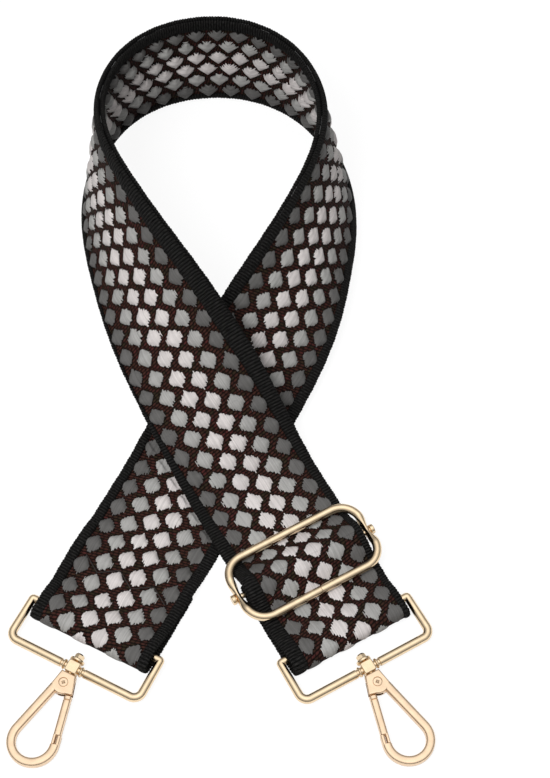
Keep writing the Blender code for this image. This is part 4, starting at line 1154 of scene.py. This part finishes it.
def make_hook_body(side, gate_way, shape, place, gold):
    half = HOOK_THICKNESS / 2
    outline = mirrored(shape.plate_outline(), gate_way)
    name = f"{side}_hook_frame"
    body = plate(name, outline, half, PLATE_CHAMFER, place, gold)

    wide = HOOK_BAR_WIDTH / 2
    sections = [(*point, wide, wide, half) for point in shape.bar_path()]
    for point in (shape.lap_end - SEAT_GAP / 4 * shape.down, shape.lap_start):
        sections.append((*point, wide, -SEAT_GAP / 2, half))
    combine(body, hook_bar(f"{name}_bar", sections, gate_way, place, gold), "UNION")

    slot_half = GATE_ROOT_THICKNESS / 2 + SEAT_GAP
    open_side = HOOK_WIDTH / 2
    roof = PIN_PLACE - GATE_ROOT_RADIUS - SEAT_GAP
    spring_reach = SPRING_RADIUS + SPRING_WIRE_RADIUS
    floor = PIN_PLACE + GATE_ROOT_RADIUS + 2 * (SEAT_GAP + spring_reach) + SEAT_GAP
    below = PIN_PLACE + PLATE_FOOT_RADIUS + CUT_OVERRUN
    slot_outline = [
        (-GATE_SLOT_OUTER, roof),
        (open_side, roof),
        (open_side, below),
        (0, below),
        (0, floor),
        (-GATE_SLOT_OUTER, floor),
    ]
    slot_outline = mirrored(slot_outline, gate_way)
    slot = plate(f"{name}_slot", slot_outline, slot_half, SEAT_GAP / 2, place, gold)
    combine(body, slot, "DIFFERENCE")

    hole_radius = PIN_HEAD_RADIUS + SEAT_GAP / 2
    recess = half - PIN_HEAD_RECESS
    upper = [(recess, PIN_HEAD_RADIUS / 2), (recess, hole_radius)]
    upper.append((half + CUT_OVERRUN, hole_radius))
    at_pin = place @ Matrix.Translation((0, PIN_PLACE, 0))
    hole = turned(f"{name}_hole", other_side(upper) + upper, at_pin, gold)
    combine(body, hole, "DIFFERENCE")
    settle(body, f"{side}_hook", "gold_cast", f"{side}_hook_body")


def make_gate(side, gate_way, shape, place, gold):
    """The gate in the frame of its own pin: a bar with a stepped lap and a pressed neck."""
    wide = GATE_WIDTH / 2
    lap_length = np.dot(shape.lap_end - shape.pin, shape.down)
    lap_place = lap_length - GATE_LAP - SEAT_GAP
    half = HOOK_THICKNESS / 2 - SEAT_GAP / 2
    crease = shape.gate_top + GATE_CREASE_PLACE
    soft = GATE_CREASE_DEPTH
    sections = [
        (shape.gate_top, wide - soft, wide - soft, half - soft),
        (shape.gate_top + soft, wide, wide, half),
        (crease - soft, wide, wide, half),
        (crease, wide - soft, wide - soft, half - soft),
        (crease + soft, wide, wide, half),
        (lap_place, wide, wide, half),
        (lap_place + SEAT_GAP / 4, wide, -SEAT_GAP / 2, half),
        (lap_length - SEAT_GAP, wide, -SEAT_GAP / 2, half),
    ]
    sections = [
        (*(shape.on_gate(shape.gate_offset, along) - shape.pin), *reaches)
        for along, *reaches in sections
    ]
    name = f"{side}_gate_bar"
    gate = hook_bar(name, sections, gate_way, place, gold)

    top = np.array(sections[0][:2])
    way = unit(top)
    cross = np.array((-way[1], way[0])) * GATE_ROOT_WIDTH / 2
    reach = top + way * wide
    opening = math.degrees(math.asin(GATE_ROOT_WIDTH / 2 / GATE_ROOT_RADIUS))
    start = bearing_deg(top) + opening
    outline = arc_points((0, 0), GATE_ROOT_RADIUS, start, start + 360 - 2 * opening)
    outline += [tuple(reach - cross), tuple(reach + cross)]
    outline = mirrored(outline, gate_way)
    root = plate(f"{name}_root", outline, GATE_ROOT_THICKNESS / 2, SEAT_GAP / 2, place, gold)
    combine(gate, root, "UNION")
    settle(gate, f"{side}_gate", "gold_cast", f"{side}_gate")


def make_gate_pin(side, place, gold):
    """The rivet: a shaft and, on each face, a head with a four-lobed crimp."""
    half = HOOK_THICKNESS / 2
    low = half - PIN_HEAD_RECESS
    upper = [(low, PIN_HEAD_RADIUS / 2), (low, PIN_HEAD_RADIUS), (half, PIN_HEAD_RADIUS)]
    angle = 2 * math.pi * np.arange(TURNED_SIDES) / TURNED_SIDES
    star = PIN_STAR_RADIUS * (1 + PIN_STAR_LOBE_SHARE * np.cos(PIN_STAR_LOBES * angle))
    for share in 1 - (np.arange(PIN_HEAD_RINGS) + 0.5) / PIN_HEAD_RINGS:
        radius = (PIN_HEAD_RADIUS - PIN_HEAD_PROUD) * share
        upper.append((half + PIN_HEAD_PROUD - PIN_STAR_DEPTH * ease(radius / star), radius))
    name = f"{side}_gate_rivet"
    pin = turned(name, other_side(upper) + upper, place, gold, sharp_deg=WIRE_SHARP_DEG)
    settle(pin, f"{side}_hook", "gold_turned", f"{side}_gate_pin")


def make_gate_coil(side, steel):
    """The coil behind the gate's root, which the opening gate presses together."""
    mesh = frame["nodes"][f"{side}_gate_spring"].data.copy()
    mesh.materials.clear()
    coil = add_object(f"{side}_gate_coil", mesh, steel)
    settle(coil, f"{side}_hook", "spring_steel", f"{side}_gate_spring")
    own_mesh(coil)


def slider_stations():
    """Half of the adjuster's frame, from the middle of its upper bar to the lower one's."""
    half_span = SLIDER_BAR_SPACING / 2
    half_arm = SLIDER_ARM_SPACING / 2
    corner = (half_arm - SLIDER_CORNER_RADIUS, half_span - SLIDER_CORNER_RADIUS)
    places = [(0, half_span)] + arc_points(corner, SLIDER_CORNER_RADIUS, 90, 0)
    straight = corner[1]
    eye = SLIDER_EYE_LENGTH / 4
    places += [(half_arm, y) for y in np.linspace(straight, 0, ARM_STEPS + 1)[1:]]
    places += [(x, -y) for x, y in reversed(places[:-1])]
    stations = []
    for x, y in places:
        in_eye = ease((abs(y) - eye) / (straight - eye)) if abs(x) == half_arm else 0
        wide = SLIDER_WIRE_RADIUS + (SLIDER_EYE_HALF_WIDTH - SLIDER_WIRE_RADIUS) * in_eye
        high = SLIDER_WIRE_RADIUS + (SLIDER_EYE_HALF_HEIGHT - SLIDER_WIRE_RADIUS) * in_eye
        dip = (SLIDER_HEIGHT - CENTRE_BAR_HEIGHT) * ease(2 * abs(y) / SLIDER_DIP_LENGTH)
        stations.append((x, y, SLIDER_HEIGHT - dip, wide, wide, high))
    seam = SLIDER_WIRE_RADIUS - SLIDER_SEAM_DEPTH
    stations[-1] = (0, -half_span, SLIDER_HEIGHT, seam, seam, seam)
    edge = (SLIDER_SEAM_HALF_WIDTH, -half_span, SLIDER_HEIGHT, *[SLIDER_WIRE_RADIUS] * 3)
    stations.insert(-1, edge)
    return stations


def make_slider(run, gold):
    foot, out, _ = run.foot["right"]
    up_leg = -Vector(out)
    sideways = up_leg.cross(Vector(UP))
    place = axes_matrix(sideways, up_leg, Vector(UP), foot - SLIDER_PLACE * out)
    half = slider_stations()
    loop = swept("slider_wire", half + other_side(half[1:-1]), place, gold, closed=True)
    settle(loop, "slider", "gold_wire", "slider_frame")

    knob = SLIDER_ARM_SPACING / 2 + SLIDER_EYE_HALF_WIDTH + SEAT_GAP / 2
    profile = [
        (0, CENTRE_BAR_RADIUS),
        (knob - SEAT_GAP, CENTRE_BAR_RADIUS),
        (knob, CENTRE_BAR_RADIUS),
        (knob, CENTRE_BAR_KNOB_RADIUS),
        (knob + CENTRE_BAR_KNOB_LENGTH, CENTRE_BAR_KNOB_RADIUS),
        (knob + CENTRE_BAR_KNOB_LENGTH, CENTRE_BAR_RADIUS / 4),
    ]
    rounded = filleted(profile, SEAT_GAP)
    at_bar = place @ Matrix.Translation((0, 0, CENTRE_BAR_HEIGHT))
    bar = turned("slider_centre_bar", other_side(rounded[1:]) + rounded, at_bar, gold, axis="X")
    settle(bar, "slider", "gold_wire", "slider_bar")


def axes_matrix(x_axis, y_axis, z_axis, origin):
    matrix = Matrix((x_axis, y_axis, z_axis)).transposed().to_4x4()
    matrix.translation = Vector(origin)
    return matrix


def make_hook_set(side, joints, shape, wire, cast, steel):
    gate_way = 1 if side == "right" else -1
    sideways = Vector(joints[f"{side}_ring_hinge"]["axis"]).normalized()
    outward = Vector(joints[f"{side}_hook_swivel"]["axis"]).normalized()
    upward = sideways.cross(outward)
    ring_place, hook_place, gate_place = (
        axes_matrix(sideways, outward, upward, joints[f"{side}_{name}"]["pos_m"])
        for name in ("ring_hinge", "hook_swivel", "gate_hinge")
    )
    make_ring(side, ring_place, wire)
    make_post(side, hook_place, wire)
    make_hook_body(side, gate_way, shape, hook_place, cast)
    make_gate(side, gate_way, shape, gate_place, cast)
    make_gate_pin(side, gate_place, cast)
    make_gate_coil(side, steel)


# Studio

def ray_is(graph, kind):
    return graph.node("LightPath", output=f"Is {kind} Ray")


def lit_and_glowing(graph, shade, glow):
    """A shader that keeps shadows, by its diffuse part, and has some light of its own."""
    pale = graph.node("BsdfDiffuse", [("Color", (shade,) * 3)])
    light = graph.node("Emission", [("Strength", glow)])
    return graph.node("AddShader", ((0, pale), (1, light)))


def seen_or_not(graph, seen, unseen, output):
    """One shader for what the camera sees, also through glass, and another for the rest."""
    direct = graph.math("MAXIMUM", ray_is(graph, "Camera"), ray_is(graph, "Transmission"))
    both = graph.node("MixShader", ((0, direct), (1, unseen), (2, seen)))
    graph.put(both, graph.tree.nodes[output].inputs["Surface"])


def make_floor():
    corners = np.array(((-1, -1, 0), (1, -1, 0), (1, 1, 0), (-1, 1, 0))) * FLOOR_REACH
    mesh = bpy.data.meshes.new("floor")
    mesh.from_pydata(corners.tolist(), [], [(0, 1, 2, 3)])
    graph = Graph(bpy.data.materials.new("white_floor"))
    colour = (FLOOR_BOUNCE,) * 3
    graph.finish(Base_Color=colour, Roughness=FLOOR_ROUGHNESS, Specular_IOR_Level=0)
    plain = Value(graph, graph.tree.nodes["Principled BSDF"].outputs[0])
    seen = lit_and_glowing(graph, *FLOOR_SEEN)
    mirrored = lit_and_glowing(graph, *FLOOR_MIRRORED)
    unseen = graph.node("MixShader", ((0, ray_is(graph, "Glossy")), (1, plain), (2, mirrored)))
    seen_or_not(graph, seen, unseen, "Material Output")
    add_object("floor", mesh, graph.owner)


def make_world():
    world = bpy.data.worlds.new("studio")
    bpy.context.scene.world = world
    graph = Graph(world)
    height = graph.node("SeparateXYZ", [(0, graph.node("TexCoord", output="Generated"))], 2)
    ramp = graph.node("ValToRGB", [(0, height)])
    stops = ramp.socket.node.color_ramp.elements
    for place, _ in SKY_LEVELS[1:-1]:
        stops.new(place)
    for stop, (place, level) in zip(stops, SKY_LEVELS):
        stop.position = place
        stop.color = (level, level, level, 1)
    sky = graph.tree.nodes["Background"]
    graph.put(ramp, sky.inputs["Color"])
    seen_or_not(graph, graph.node("Background"), Value(graph, sky.outputs[0]), "World Output")


def make_lamp():
    data = bpy.data.lights.new("key", "AREA")
    data.shape = "DISK"
    data.size = LAMP_SIZE
    data.energy = LAMP_POWER
    lamp = bpy.data.objects.new("key", data)
    bpy.context.scene.collection.objects.link(lamp)
    lamp.location = LAMP_PLACE
    lamp.rotation_euler = (-Vector(LAMP_PLACE)).to_track_quat("-Z", "Y").to_euler()
    lamp.visible_glossy = False


def make_camera():
    data = bpy.data.cameras.new("camera")
    camera = bpy.data.objects.new("camera", data)
    bpy.context.scene.collection.objects.link(camera)
    bpy.context.scene.camera = camera
    data.sensor_fit = "VERTICAL"
    data.sensor_height = CAMERA_SENSOR * 1000
    data.lens = FOCAL_PIXELS * data.sensor_height / PHOTO_HEIGHT_PIXELS
    tilt = math.radians(90 - CAMERA_ELEVATION_DEG)
    back = Vector((0, -math.sin(tilt), math.cos(tilt)))
    camera.location = Vector(CAMERA_AIM) + CAMERA_DISTANCE * back
    camera.rotation_euler = (tilt, 0, 0)


def main():
    joints = {joint["name"]: joint for joint in frame["joints"]}
    run = StrapRun(joints["left_ring_hinge"]["pos_m"])
    make_webbing(run, webbing_material())
    wire = gold_material("polished_gold_wire", WIRE_GOLD, WIRE_ROUGHNESS)
    cast = gold_material("polished_gold_cast", CAST_GOLD, CAST_ROUGHNESS)
    thread = spun_material(
        "black_thread", THREAD_DENSITY, THREAD_SHADES, THREAD_ROUGHNESS, bump=THREAD_BUMP
    )
    steel = spun_material("spring_steel", STEEL_DENSITY, STEEL_SHADES, STEEL_ROUGHNESS, metallic=1)
    make_slider(run, wire)
    shape = HookShape()
    for side in ("left", "right"):
        make_hook_set(side, joints, shape, wire, cast, steel)
    for name in ("left_end_stitching", "return_stitching"):
        frame["nodes"][name].data.materials[0] = thread
    make_floor()
    make_world()
    make_lamp()
    make_camera()
    bpy.context.scene.view_settings.view_transform = "Standard"


main()
